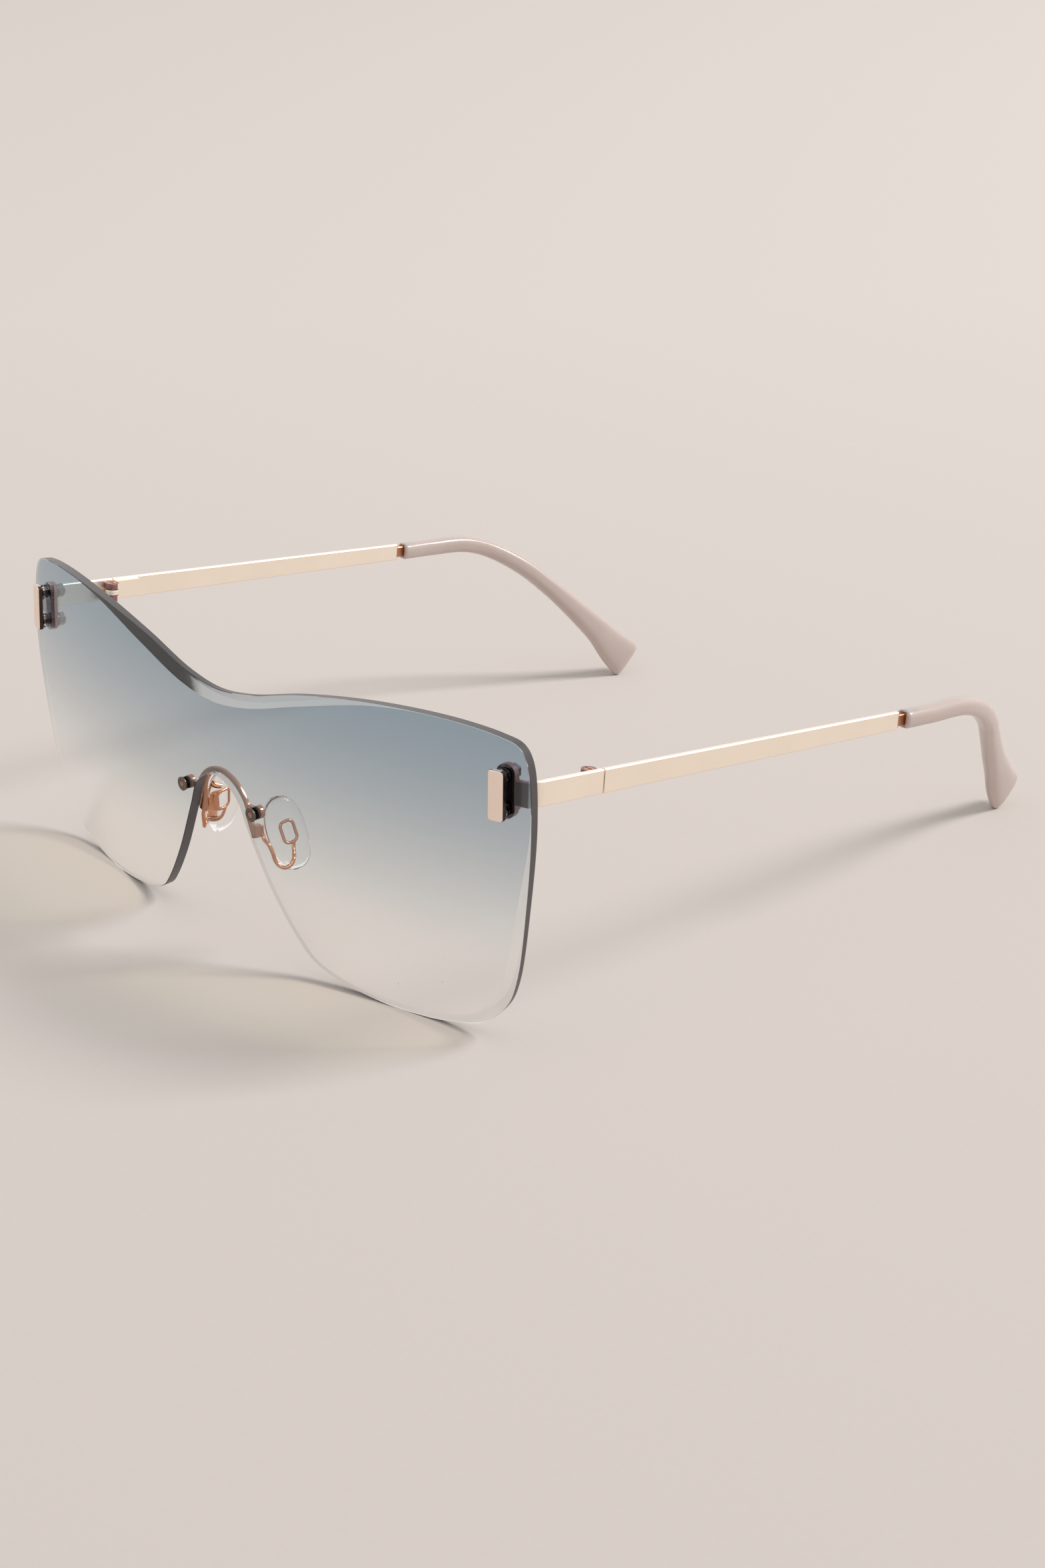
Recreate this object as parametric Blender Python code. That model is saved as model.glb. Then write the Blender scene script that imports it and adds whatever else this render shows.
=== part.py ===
"""Rimless shield sunglasses with one domed lens, clamped end pieces and two folding temples.

Metres, +Z up. The lens faces -Y, the wearer's left is +X, and the part rests on Z = 0.
Pieces that come in pairs are modelled once for the wearer's left and mirrored.
"""

import math

import bmesh
import bpy
import numpy as np
from mathutils import Matrix, Vector

# Clearances
SEAT_GAP = 0.0002
HINGE_GAP = 0.0003
BORE_CLEARANCE = 0.0001
KNUCKLE_PLAY = 0.00015
OVERLAP = 0.0003
JOIN_STEP = 0.0001
OVERRUN = 0.001

# Lens: a domed sheet, its edge ground to a bright facet where facet_share says
LENS_WIDTH = 0.145
LENS_HEIGHT = 0.0564
LENS_RADIUS = 0.260
LENS_THICKNESS = 0.002
DOME_HEIGHT_SHARE = 0.569
FACET_WIDTH = 0.0022
FACET_DEPTH = 0.0009
EDGE_BREAK = 0.00015
LENS_GRID = 0.0095
# Half outline, top middle to notch middle: share of half width, of height, of facet width
LENS_OUTLINE_SHARES = (
    (0.0, 0.863, 1.0),
    (0.125, 0.8818, 1.0),
    (0.317, 0.9424, 0.85),
    (0.552, 0.9881, 0.22),
    (0.772, 1.0, 0.0),
    (0.91, 0.9851, 0.0),
    (0.96, 0.9663, 0.0),
    (0.986, 0.9156, 0.0),
    (0.998, 0.7389, 0.05),
    (0.98, 0.4857, 0.6),
    (0.9365, 0.2106, 0.95),
    (0.9, 0.1185, 1.0),
    (0.826, 0.0408, 1.0),
    (0.712, 0.0075, 0.75),
    (0.63, 0.0, 0.5),
    (0.548, 0.001, 0.25),
    (0.377, 0.031, 0.0),
    (0.312, 0.062, 0.0),
    (0.272, 0.1099, 0.0),
    (0.193, 0.2494, 0.0),
    (0.1145, 0.441, 0.0),
    (0.087, 0.5165, 0.0),
    (0.0455, 0.5616, 0.0),
    (0.0, 0.579, 0.0),
)

# Corner clamp: a front plate with two studs that hold bushings, lens, end piece, washers, nuts
CLAMP_INSET = 0.0058
CLAMP_HEIGHT_SHARE = 0.8163
PLATE_WIDTH = 0.003
PLATE_HEIGHT = 0.0086
PLATE_THICKNESS = 0.0009
PLATE_CORNER = 0.0006
PLATE_BEVEL = 0.00015
STUD_PITCH = 0.0057
STUD_RADIUS = 0.0007
STUD_END = 0.0003
COLLAR_RADIUS = 0.0014
COLLAR_THICKNESS = 0.0004
SLEEVE_WALL = 0.00035
WASHER_RADIUS = 0.0014
WASHER_THICKNESS = 0.00025
NUT_ACROSS_FLATS = 0.0023
NUT_HEIGHT = 0.0009
NUT_SIDES = 6

# End piece: flange behind the lens, strap round the edge, two outer hinge knuckles
FLANGE_WIDTH = 0.0037
FLANGE_HEIGHT = 0.0094
FLANGE_CORNER = 0.0018
FLANGE_THICKNESS = 0.0012
STRAP_THICKNESS = 0.001
STRAP_INSET = 0.001
STRAP_HEIGHT = 0.0044
STRAP_EDGE = 0.00018
BEND_RADIUS = 0.0018
STRAP_LENGTH = 0.0128
TEMPLE_DROP_DEGREES = 6.8

# Hinge: three knuckles on one screw
KNUCKLE_RADIUS = 0.00135
OUTER_KNUCKLE_HEIGHT = 0.0011
MIDDLE_KNUCKLE_HEIGHT = 0.001
HINGE_SETBACK = 0.0012
KNUCKLE_ARM_WIDTH = 0.0019
KNUCKLE_ARM_THICKNESS = 0.0008
SCREW_RADIUS = 0.0005
SCREW_HEAD_RADIUS = 0.0009
SCREW_HEAD_HEIGHT = 0.00035
SCREW_SLOT_WIDTH = 0.0003
SCREW_SLOT_DEPTH = 0.0002
LEAF_LENGTH = 0.0055
LEAF_HEIGHT = 0.0034
LEAF_THICKNESS = 0.0006
LEAF_STEP = 0.0003

# Temple bar: a flat strip that ends in a slim core inside the tip
GAP_BAR_HEIGHT = 0.00426
MOUTH_BAR_HEIGHT = 0.00335
TEMPLE_LENGTH = 0.0741
NECK_LENGTH = 0.0018
BAR_END_TAPER = 0.0002
CORE_HEIGHT = 0.0022
CORE_THICKNESS = 0.0009
CORE_REACH_SHARE = 0.74

# Temple tip: a moulded sleeve that bends down behind the ear and widens to a paddle
TIP_TUCK = 0.0163
TIP_RUN = 0.0493
TIP_FOOT = 0.00325
TIP_HEIGHT = 0.00345
TIP_THICKNESS = 0.0035
PADDLE_WIDTH = 0.0086
PADDLE_THICKNESS = 0.003
TIP_RIM = 0.0005
PADDLE_RIM = 0.0012
CORE_CLEARANCE = 0.0003
# Centre line from mouth to end: shares of tuck, run and drop, then of the paddle's growth
TIP_PATH_SHARES = (
    (0.0, 0.0, 0.0, 0.0),
    (0.0, 0.159, 0.026, 0.0),
    (0.043, 0.342, 0.062, 0.0),
    (0.123, 0.464, 0.135, 0.0),
    (0.325, 0.607, 0.288, 0.04),
    (0.546, 0.719, 0.468, 0.1),
    (0.736, 0.817, 0.65, 0.26),
    (0.853, 0.888, 0.781, 0.47),
    (0.939, 0.948, 0.909, 0.79),
    (1.0, 1.0, 1.0, 1.0),
)

# Nose bridge: an arch behind the notch, with a lug and a foot on each side
ARCH_WIDTH = 0.001
ARCH_DEPTH = 0.0008
ARCH_EDGE = 0.0002
# Half arch, middle to foot: shares of the lens's half width and height
ARCH_SHARES = (
    (0.0, 0.5895),
    (0.053, 0.571),
    (0.0935, 0.519),
    (0.1076, 0.4592),
    (0.1172, 0.4238),
    (0.1214, 0.406),
)
PEG_PLACE_SHARE = (0.1407, 0.4996)
PEG_RADIUS = 0.0006
LUG_RADIUS = 0.0012
LUG_WIDTH = 0.0013
LUG_THICKNESS = 0.0009
NOSE_COLLAR_RADIUS = 0.0013
NOSE_COLLAR_THICKNESS = 0.0003
NOSE_SLEEVE_WALL = 0.0003
FOOT_WIDTH = 0.0012
FOOT_DEPTH = 0.0011
FOOT_HEIGHT = 0.0024
FOOT_BEVEL = 0.00025

# Nose pads: a bent wire with a loop that a clear pad is moulded round
PAD_LENGTH = 0.0137
PAD_WIDTH = 0.0074
PAD_ARM_SIDE = 0.0014
PAD_NOSE_SIDE = 0.0016
PAD_OUTSET = 0.00164
PAD_SETBACK = 0.00524
PAD_DROP = 0.00146
PAD_ROUNDNESS = 0.7
PAD_FLAT_SHARE = 0.08
PAD_LEAN_SHARES = (-0.268, -0.121, 0.956)
PAD_FACING_SHARES = (0.958, -0.2, 0.2)
LOOP_WIDTH = 0.0025
LOOP_HEIGHT = 0.0039
LOOP_CORNER = 0.0009
LOOP_RADIUS = 0.0003
LOOP_SEAT = 0.0008
LOOP_UP = 0.0003
ARM_RADIUS = 0.00037
ARM_LIFT = 0.0006
ARM_REACH = 0.00425
ARM_DEPTH = 0.0016
ARM_DROP = 0.0072
# Wire from foot past its lowest point: shares of reach, depth and drop there
ARM_PATH_SHARES = (
    (0.0, 0.0, 0.0),
    (0.0, 0.0, 0.194),
    (0.153, 0.0, 0.34),
    (0.424, 0.03, 0.435),
    (0.576, 0.18, 0.617),
    (0.649, 0.37, 0.8375),
    (0.793, 0.62, 0.961),
    (1.0, 1.0, 1.0),
    (1.104, 1.49, 0.942),
    (1.073, 1.99, 0.825),
    (0.878, 2.43, 0.757),
    (0.706, 2.68, 0.593),
)

# How finely round things are cut
OUTLINE_STEPS = 14
OUTLINE_TURN = math.radians(9)
OUTLINE_REACH = 0.009
PATH_STEPS = 5
WIRE_STEPS = 2
COLLAR_SIDES = 20
SMALL_SIDES = 14
WIRE_SIDES = 8
BEND_STEPS = 6
TIP_STEPS = 3
TIP_SIDES = 16
TIP_EXPONENT = 2.7
PAD_SIDES = 24
PAD_EXPONENT = 2.5
ROUND_EXPONENT = 2.0
RIM_STEPS = 4
CORNER_STEPS = 4
BEVEL_STEPS = 2
SMOOTH_ANGLE = math.radians(38)
LENS_SMOOTH_ANGLE = math.radians(12)

# Colours (linear RGB), roughness and metallic value
GOLD = ((0.80, 0.62, 0.45, 1.0), 0.22, 1.0)
ROSE_GOLD = ((0.62, 0.33, 0.21, 1.0), 0.24, 1.0)
STEEL = ((0.46, 0.45, 0.44, 1.0), 0.3, 1.0)
TINT = ((0.40, 0.47, 0.50, 1.0), 0.05, 0.0)
CLEAR = ((0.85, 0.86, 0.86, 1.0), 0.12, 0.0)
TAUPE = ((0.46, 0.39, 0.36, 1.0), 0.28, 0.0)

MIRROR = Matrix.Diagonal((-1.0, 1.0, 1.0, 1.0))


def clear_scene():
    """Remove every object that the file opened with."""
    for item in list(bpy.data.objects):
        bpy.data.objects.remove(item, do_unlink=True)


def make_material(name, finish):
    """A Principled material from a colour, a roughness and a metallic value."""
    colour, roughness, metallic = finish
    material = bpy.data.materials.new(name)
    material.use_nodes = True
    material.diffuse_color = colour
    shader = material.node_tree.nodes["Principled BSDF"]
    shader.inputs["Base Color"].default_value = colour
    shader.inputs["Roughness"].default_value = roughness
    shader.inputs["Metallic"].default_value = metallic
    return material


def smooth(points, steps, closed=False):
    """Points of a smooth curve that passes through the given ones, wherever their spacing."""
    given = np.array(points, dtype=float)
    if closed:
        padded = np.vstack([given[-1], given, given[0], given[1]])
    else:
        padded = np.vstack([2 * given[0] - given[1], given, 2 * given[-1] - given[-2]])
    curve = []
    for first, start, stop, last in zip(padded, padded[1:], padded[2:], padded[3:]):
        knots = [0.0]
        for near, far in ((first, start), (start, stop), (stop, last)):
            knots.append(knots[-1] + math.sqrt(np.linalg.norm(far - near)))
        for step in range(steps):
            at = knots[1] + (knots[2] - knots[1]) * step / steps
            level = [first, start, stop, last]
            for depth in (1, 2, 3):
                # The middle spans narrow to the inner knots, as in a repeated blend
                low = knots if depth < 3 else knots[1:]
                high = depth if depth < 3 else 1
                level = [
                    near + (far - near) * (at - low[i]) / (low[i + high] - low[i])
                    for i, (near, far) in enumerate(zip(level, level[1:]))
                ]
            curve.append(level[0])
    if not closed:
        curve.append(given[-1])
    return np.array(curve)


def thin(points, turn, reach):
    """Keep a curve's ends and the points where it has turned or run far enough."""
    kept = [points[0]]
    turned = 0.0
    for before, here, after in zip(points, points[1:], points[2:]):
        into = here[:2] - before[:2]
        out = after[:2] - here[:2]
        turned += abs(math.atan2(into[0] * out[1] - into[1] * out[0], into @ out))
        if turned >= turn or np.linalg.norm(after[:2] - kept[-1][:2]) > reach:
            kept.append(here)
            turned = 0.0
    kept.append(points[-1])
    return kept


def lens_outline():
    """The whole lens's outline, clockwise from the front: x, z and facet width at each point."""
    scale = np.array((LENS_WIDTH / 2, LENS_HEIGHT, FACET_WIDTH))
    half = [np.array(row) * scale for row in LENS_OUTLINE_SHARES]
    flip = np.array((-1, 1, 1))
    whole = half + [row * flip for row in reversed(half[1:-1])]
    dense = smooth(whole, OUTLINE_STEPS, closed=True)
    right = thin(dense[: (len(half) - 1) * OUTLINE_STEPS + 1], OUTLINE_TURN, OUTLINE_REACH)
    return right + [row * flip for row in reversed(right[1:-1])]


def lens_spot(x, z, depth=0.0):
    """The point at a depth behind the lens's domed front."""
    middle = Vector((0.0, LENS_RADIUS, DOME_HEIGHT_SHARE * LENS_HEIGHT))
    rise = z - middle.z
    front = Vector((x, LENS_RADIUS - math.sqrt(LENS_RADIUS**2 - x**2 - rise**2), z))
    return front + (middle - front).normalized() * depth


def lens_frame(x, z):
    """A frame on the lens's front: local Y goes back through the lens, local Z goes up."""
    spot = lens_spot(x, z)
    back = (lens_spot(x, z, LENS_THICKNESS) - spot).normalized()
    up = Vector((0.0, 0.0, 1.0))
    return frame_at(spot, back, up)


def frame_at(place, along, up):
    """A frame with local Y along a direction and local Z as near as can be to up."""
    along = along.normalized()
    side = along.cross(up).normalized()
    top = side.cross(along)
    frame = Matrix((side, along, top)).transposed().to_4x4()
    frame.translation = place
    return frame


def axis_frame(place=Vector(), forward=False):
    """A frame for a turned shape: its axis is local Z, or Y where it points forward."""
    turn = Matrix.Rotation(math.radians(-90), 4, "X") if forward else Matrix()
    return Matrix.Translation(place) @ turn


def drum(radius, low, high, sides, frame):
    """A cylinder from low to high along the frame's Z axis."""
    shape = bmesh.new()
    middle = Matrix.Translation((0.0, 0.0, (low + high) / 2))
    bmesh.ops.create_cone(
        shape,
        cap_ends=True,
        segments=sides,
        radius1=radius,
        radius2=radius,
        depth=high - low,
        matrix=frame @ middle,
    )
    return shape


def block(low, high):
    """A box between two corners."""
    low = Vector(low)
    high = Vector(high)
    shape = bmesh.new()
    size = Matrix.Diagonal((*(high - low), 1.0))
    bmesh.ops.create_cube(shape, size=1.0, matrix=Matrix.Translation((low + high) / 2) @ size)
    return shape


def round_edges(shape, along, radius, steps):
    """Round the edges of a shape that run along an axis, given by its index."""
    edges = []
    for edge in shape.edges:
        run = (edge.verts[1].co - edge.verts[0].co).normalized()
        if abs(run[along]) > math.cos(SMOOTH_ANGLE):
            edges.append(edge)
    bmesh.ops.bevel(shape, geom=edges, offset=radius, segments=steps, profile=0.5, affect="EDGES")


def round_rim(shape, axis, level, radius, steps):
    """Round the edges that lie on one end face of a shape."""
    edges = [e for e in shape.edges if all(abs(v.co[axis] - level) < radius / 10 for v in e.verts)]
    bmesh.ops.bevel(shape, geom=edges, offset=radius, segments=steps, profile=0.5, affect="EDGES")


def loft(rings, closed=False):
    """A skin over rings of points, capped at both ends or joined into a loop."""
    shape = bmesh.new()
    rows = [[shape.verts.new(point) for point in ring] for ring in rings]
    pairs = list(zip(rows, rows[1:]))
    if closed:
        pairs.append((rows[-1], rows[0]))
    else:
        shape.faces.new(rows[0])
        shape.faces.new(rows[-1])
    for near, far in pairs:
        for index in range(len(near)):
            after = (index + 1) % len(near)
            shape.faces.new((near[index], near[after], far[after], far[index]))
    bmesh.ops.recalc_face_normals(shape, faces=shape.faces[:])
    return shape


def chamfered(width, height, edge):
    """A rectangle's section with its corners cut, in local X and Z."""
    x = width / 2
    z = height / 2
    return [
        Vector((x, 0, z - edge)),
        Vector((x, 0, edge - z)),
        Vector((x - edge, 0, -z)),
        Vector((edge - x, 0, -z)),
        Vector((-x, 0, edge - z)),
        Vector((-x, 0, z - edge)),
        Vector((edge - x, 0, z)),
        Vector((x - edge, 0, z)),
    ]


def oval(width, height, sides, exponent):
    """A section between an ellipse and a rectangle, in local X and Z."""
    points = []
    for step in range(sides):
        angle = math.tau * (step + 0.5) / sides
        c = math.cos(angle)
        s = math.sin(angle)
        reach = (abs(c) ** exponent + abs(s) ** exponent) ** (-1 / exponent)
        points.append(Vector((width / 2 * reach * c, 0, height / 2 * reach * s)))
    return points


def placed(frame, section):
    """A section's points in the frame that it is drawn in."""
    return [frame @ point for point in section]


def path_frames(points, up, closed=False):
    """Frames along a path, each with local Z as near as can be to the up direction."""
    frames = []
    count = len(points)
    for index, point in enumerate(points):
        if closed:
            run = points[(index + 1) % count] - points[index - 1]
        else:
            run = points[min(index + 1, count - 1)] - points[max(index - 1, 0)]
        frames.append(frame_at(point, run, up))
    return frames


def tube(points, radius, up, closed=False):
    """A round wire along a path."""
    section = oval(2 * radius, 2 * radius, WIRE_SIDES, ROUND_EXPONENT)
    return loft([placed(f, section) for f in path_frames(points, up, closed)], closed)


def boolean(body, tool, operation):
    """A shape joined with, or cut by, another one."""
    pair = []
    for shape in (body, tool):
        mesh = bpy.data.meshes.new("shape")
        shape.to_mesh(mesh)
        shape.free()
        pair.append(bpy.data.objects.new("shape", mesh))
        bpy.context.scene.collection.objects.link(pair[-1])
    modifier = pair[0].modifiers.new("boolean", "BOOLEAN")
    modifier.operation = operation
    modifier.solver = "EXACT"
    modifier.object = pair[1]
    graph = bpy.context.evaluated_depsgraph_get()
    mesh = bpy.data.meshes.new_from_object(pair[0].evaluated_get(graph))
    result = bmesh.new()
    result.from_mesh(mesh)
    bpy.data.meshes.remove(mesh)
    for item in pair:
        data = item.data
        bpy.data.objects.remove(item, do_unlink=True)
        bpy.data.meshes.remove(data)
    return result


def joined(*shapes):
    """One closed shape from several that overlap."""
    body = shapes[0]
    for shape in shapes[1:]:
        body = boolean(body, shape, "UNION")
    return body


def cut(body, *tools):
    """A shape with others taken out of it."""
    for tool in tools:
        body = boolean(body, tool, "DIFFERENCE")
    return body


def moved(shape, matrix):
    """The shape itself after a transform, its faces still pointing out."""
    bmesh.ops.transform(shape, matrix=matrix, verts=shape.verts[:])
    if matrix.determinant() < 0:
        bmesh.ops.reverse_faces(shape, faces=shape.faces[:])
    return shape


def add_empty(name, parent, frame):
    """An empty that other pieces hang from, in a frame given in the world."""
    empty = bpy.data.objects.new(name, None)
    bpy.context.scene.collection.objects.link(empty)
    attach(empty, parent, frame)
    return empty


def attach(item, parent, frame):
    """Parent an object and put it where a world frame says."""
    bpy.context.view_layer.update()
    item.parent = parent
    item.matrix_basis = parent.matrix_world.inverted() @ frame if parent else frame


def add_piece(name, shape, frame, parent, finish, angle=SMOOTH_ANGLE):
    """An object from a shape drawn in the given frame's own coordinates."""
    mesh = bpy.data.meshes.new(name)
    shape.to_mesh(mesh)
    shape.free()
    mesh.shade_smooth()
    mesh.set_sharp_from_angle(angle=angle)
    mesh.materials.append(make_material(name, finish))
    piece = bpy.data.objects.new(name, mesh)
    bpy.context.scene.collection.objects.link(piece)
    attach(piece, parent, frame)
    return piece


def add_pair(name, shape, frame, parents, finish):
    """A piece drawn for the wearer's left, and its mirror image on the right."""
    twin = moved(shape.copy(), MIRROR)
    pieces = [add_piece(f"{name}_left", shape, frame, parents[0], finish)]
    pieces.append(add_piece(f"{name}_right", twin, MIRROR @ frame @ MIRROR, parents[1], finish))
    return pieces


def clamp_frame():
    """The frame on the lens's front at the middle of the left clamp."""
    return lens_frame(LENS_WIDTH / 2 - CLAMP_INSET, CLAMP_HEIGHT_SHARE * LENS_HEIGHT)


def peg_frame():
    """The frame on the lens's front at the bridge's left peg."""
    across, up = PEG_PLACE_SHARE
    return lens_frame(across * LENS_WIDTH / 2, up * LENS_HEIGHT)


def stud_places():
    """The two studs' heights above the clamp's middle, with their names."""
    return (("upper", STUD_PITCH / 2), ("lower", -STUD_PITCH / 2))


def flange_depths():
    """How far behind the lens's front the end piece's flange starts and ends."""
    start = LENS_THICKNESS + SEAT_GAP
    return start, start + FLANGE_THICKNESS


def temple_axes():
    """The temple's direction and its own up, which the hinge axis follows."""
    drop = math.radians(TEMPLE_DROP_DEGREES)
    along = Vector((0.0, math.cos(drop), -math.sin(drop)))
    up = Vector((0.0, math.sin(drop), math.cos(drop)))
    return along, up


def bend_angles():
    """The strap's heading in plan where its bend starts and where it ends."""
    outward = clamp_frame().to_3x3() @ Vector((1.0, 0.0, 0.0))
    return math.atan2(outward.y, outward.x), math.pi / 2


def bend_centre():
    """The point in plan that the strap bends round, level with the clamp's middle."""
    start, stop = flange_depths()
    line = clamp_frame() @ Vector((0.0, (start + stop) / 2, 0.0))
    heading = bend_angles()[0]
    x = LENS_WIDTH / 2 - STRAP_INSET - STRAP_THICKNESS / 2 - BEND_RADIUS
    reach = (x + BEND_RADIUS * math.sin(heading) - line.x) / math.cos(heading)
    y = line.y + reach * math.sin(heading) + BEND_RADIUS * math.cos(heading)
    return Vector((x, y, line.z))


def strap_point(distance):
    """The strap's and bar's centre line, at a distance behind the bend."""
    return bend_centre() + Vector((BEND_RADIUS, 0.0, 0.0)) + temple_axes()[0] * distance


def hinge_frame():
    """The left hinge's frame: origin on its axis, local Z along the axis."""
    along, up = temple_axes()
    inward = STRAP_THICKNESS / 2 + SEAT_GAP + KNUCKLE_RADIUS
    place = strap_point(STRAP_LENGTH - HINGE_SETBACK) - Vector((inward, 0.0, 0.0))
    return frame_at(place, along, up)


def knuckle_levels():
    """Low and high ends of the lower, middle and upper knuckle along the axis."""
    inner = MIDDLE_KNUCKLE_HEIGHT / 2
    start = inner + KNUCKLE_PLAY
    outer = start + OUTER_KNUCKLE_HEIGHT
    return (-outer, -start), (-inner, inner), (start, outer)


def bar_height(distance):
    """The flat strip's height at a distance behind the bend."""
    if distance < STRAP_LENGTH:
        share = distance / STRAP_LENGTH
        return STRAP_HEIGHT + (GAP_BAR_HEIGHT - STRAP_HEIGHT) * share
    share = (distance - STRAP_LENGTH) / TEMPLE_LENGTH
    return GAP_BAR_HEIGHT + (MOUTH_BAR_HEIGHT - GAP_BAR_HEIGHT) * share


def make_lens(root):
    """The domed lens with its ground edge, clamp holes and peg holes."""
    outline = lens_outline()
    count = len(outline)
    shape = bmesh.new()
    outer = []
    inner = []
    depths = {}
    for index, (x, z, facet) in enumerate(outline):
        run = outline[(index + 1) % count][:2] - outline[index - 1][:2]
        run = run / np.linalg.norm(run)
        width = max(facet, EDGE_BREAK)
        outer.append(shape.verts.new((x, 0, z)))
        inner.append(shape.verts.new((x + run[1] * width, 0, z - run[0] * width)))
        depths[outer[-1]] = FACET_DEPTH * width / FACET_WIDTH
    ring = []
    for index in range(count):
        after = (index + 1) % count
        ring.append(shape.faces.new((outer[index], outer[after], inner[after], inner[index])))
    shape.faces.new(inner)
    grid_lens(shape, set(ring))
    grown = bmesh.ops.extrude_face_region(shape, geom=shape.faces[:])
    for item in grown["geom"]:
        if isinstance(item, bmesh.types.BMVert):
            depths[item] = LENS_THICKNESS
    for vert in shape.verts:
        vert.co = lens_spot(vert.co.x, vert.co.z, depths.get(vert, 0.0))
    bmesh.ops.recalc_face_normals(shape, faces=shape.faces[:])
    bmesh.ops.triangulate(shape, faces=shape.faces[:])
    for frame, radius in lens_holes():
        for turn in (frame, MIRROR @ frame @ MIRROR):
            axis = turn @ axis_frame(forward=True)
            stop = LENS_THICKNESS + OVERRUN
            shape = cut(shape, drum(radius, -OVERRUN, stop, SMALL_SIDES, axis))
    return add_piece("lens", shape, Matrix(), root, TINT, LENS_SMOOTH_ANGLE)


def grid_lens(shape, ring):
    """Cut the lens's flat sheet into a grid that can follow the dome."""
    for axis, low, high in ((0, -LENS_WIDTH / 2, LENS_WIDTH / 2), (2, 0.0, LENS_HEIGHT)):
        lines = round((high - low) / LENS_GRID)
        normal = [0.0, 0.0, 0.0]
        normal[axis] = 1.0
        for line in range(1, lines):
            place = [0.0, 0.0, 0.0]
            place[axis] = low + (high - low) * line / lines
            faces = [face for face in shape.faces if face not in ring]
            edges = {edge for face in faces for edge in face.edges}
            verts = {vert for face in faces for vert in face.verts}
            bmesh.ops.bisect_plane(
                shape,
                geom=[*verts, *edges, *faces],
                plane_co=place,
                plane_no=normal,
                dist=EDGE_BREAK / 10,
            )


def lens_holes():
    """Frame and radius of each hole on the lens's left half."""
    holes = []
    for _, height in stud_places():
        lifted = clamp_frame() @ Matrix.Translation((0.0, 0.0, height))
        holes.append((lifted, STUD_RADIUS + BORE_CLEARANCE + SLEEVE_WALL + BORE_CLEARANCE))
    radius = PEG_RADIUS + BORE_CLEARANCE + NOSE_SLEEVE_WALL + BORE_CLEARANCE
    holes.append((peg_frame(), radius))
    return holes


def make_clamps(root):
    """Front plates, bushings, washers and nuts at the lens's outer corners."""
    frame = clamp_frame()
    forward = axis_frame(forward=True)
    washer_low = flange_depths()[1] + SEAT_GAP
    nut_low = washer_low + WASHER_THICKNESS + SEAT_GAP
    back = -(SEAT_GAP + COLLAR_THICKNESS + SEAT_GAP)
    front = back - PLATE_THICKNESS
    low = (-PLATE_WIDTH / 2, front, -PLATE_HEIGHT / 2)
    plate = block(low, (PLATE_WIDTH / 2, back, PLATE_HEIGHT / 2))
    round_edges(plate, 1, PLATE_CORNER, CORNER_STEPS)
    round_rim(plate, 1, front, PLATE_BEVEL, BEVEL_STEPS)
    studs = []
    for _, height in stud_places():
        axis = Matrix.Translation((0.0, 0.0, height)) @ forward
        stop = nut_low + NUT_HEIGHT + STUD_END
        studs.append(drum(STUD_RADIUS, back - OVERLAP, stop, SMALL_SIDES, axis))
    add_pair("front_plate", joined(plate, *studs), frame, (root, root), GOLD)
    for name, height in stud_places():
        place = frame @ Matrix.Translation((0.0, 0.0, height))
        sleeve = STUD_RADIUS + BORE_CLEARANCE + SLEEVE_WALL
        bushing = make_bushing(COLLAR_RADIUS, COLLAR_THICKNESS, sleeve, STUD_RADIUS)
        add_pair(f"bushing_{name}", bushing, place, (root, root), CLEAR)
        hole = STUD_RADIUS + BORE_CLEARANCE
        washer_high = washer_low + WASHER_THICKNESS
        washer = drum(WASHER_RADIUS, washer_low, washer_high, COLLAR_SIDES, forward)
        tool = drum(hole, washer_low - OVERRUN, nut_low + OVERRUN, SMALL_SIDES, forward)
        add_pair(f"washer_{name}", cut(washer, tool), place, (root, root), STEEL)
        nut_high = nut_low + NUT_HEIGHT
        nut = drum(NUT_ACROSS_FLATS / math.sqrt(3), nut_low, nut_high, NUT_SIDES, forward)
        tool = drum(hole, nut_low - OVERRUN, nut_high + OVERRUN, SMALL_SIDES, forward)
        add_pair(f"nut_{name}", cut(nut, tool), place, (root, root), STEEL)


def make_bushing(collar_radius, collar_thickness, sleeve_radius, shaft_radius):
    """A top-hat bushing: a collar before the lens and a sleeve through it."""
    forward = axis_frame(forward=True)
    collar_front = -SEAT_GAP - collar_thickness
    collar = drum(collar_radius, collar_front, -SEAT_GAP, COLLAR_SIDES, forward)
    sleeve_front = (collar_front - SEAT_GAP) / 2
    sleeve = drum(sleeve_radius, sleeve_front, LENS_THICKNESS, COLLAR_SIDES, forward)
    bore = shaft_radius + BORE_CLEARANCE
    tool = drum(bore, collar_front - OVERRUN, LENS_THICKNESS + OVERRUN, SMALL_SIDES, forward)
    return cut(joined(collar, sleeve), tool)


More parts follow.
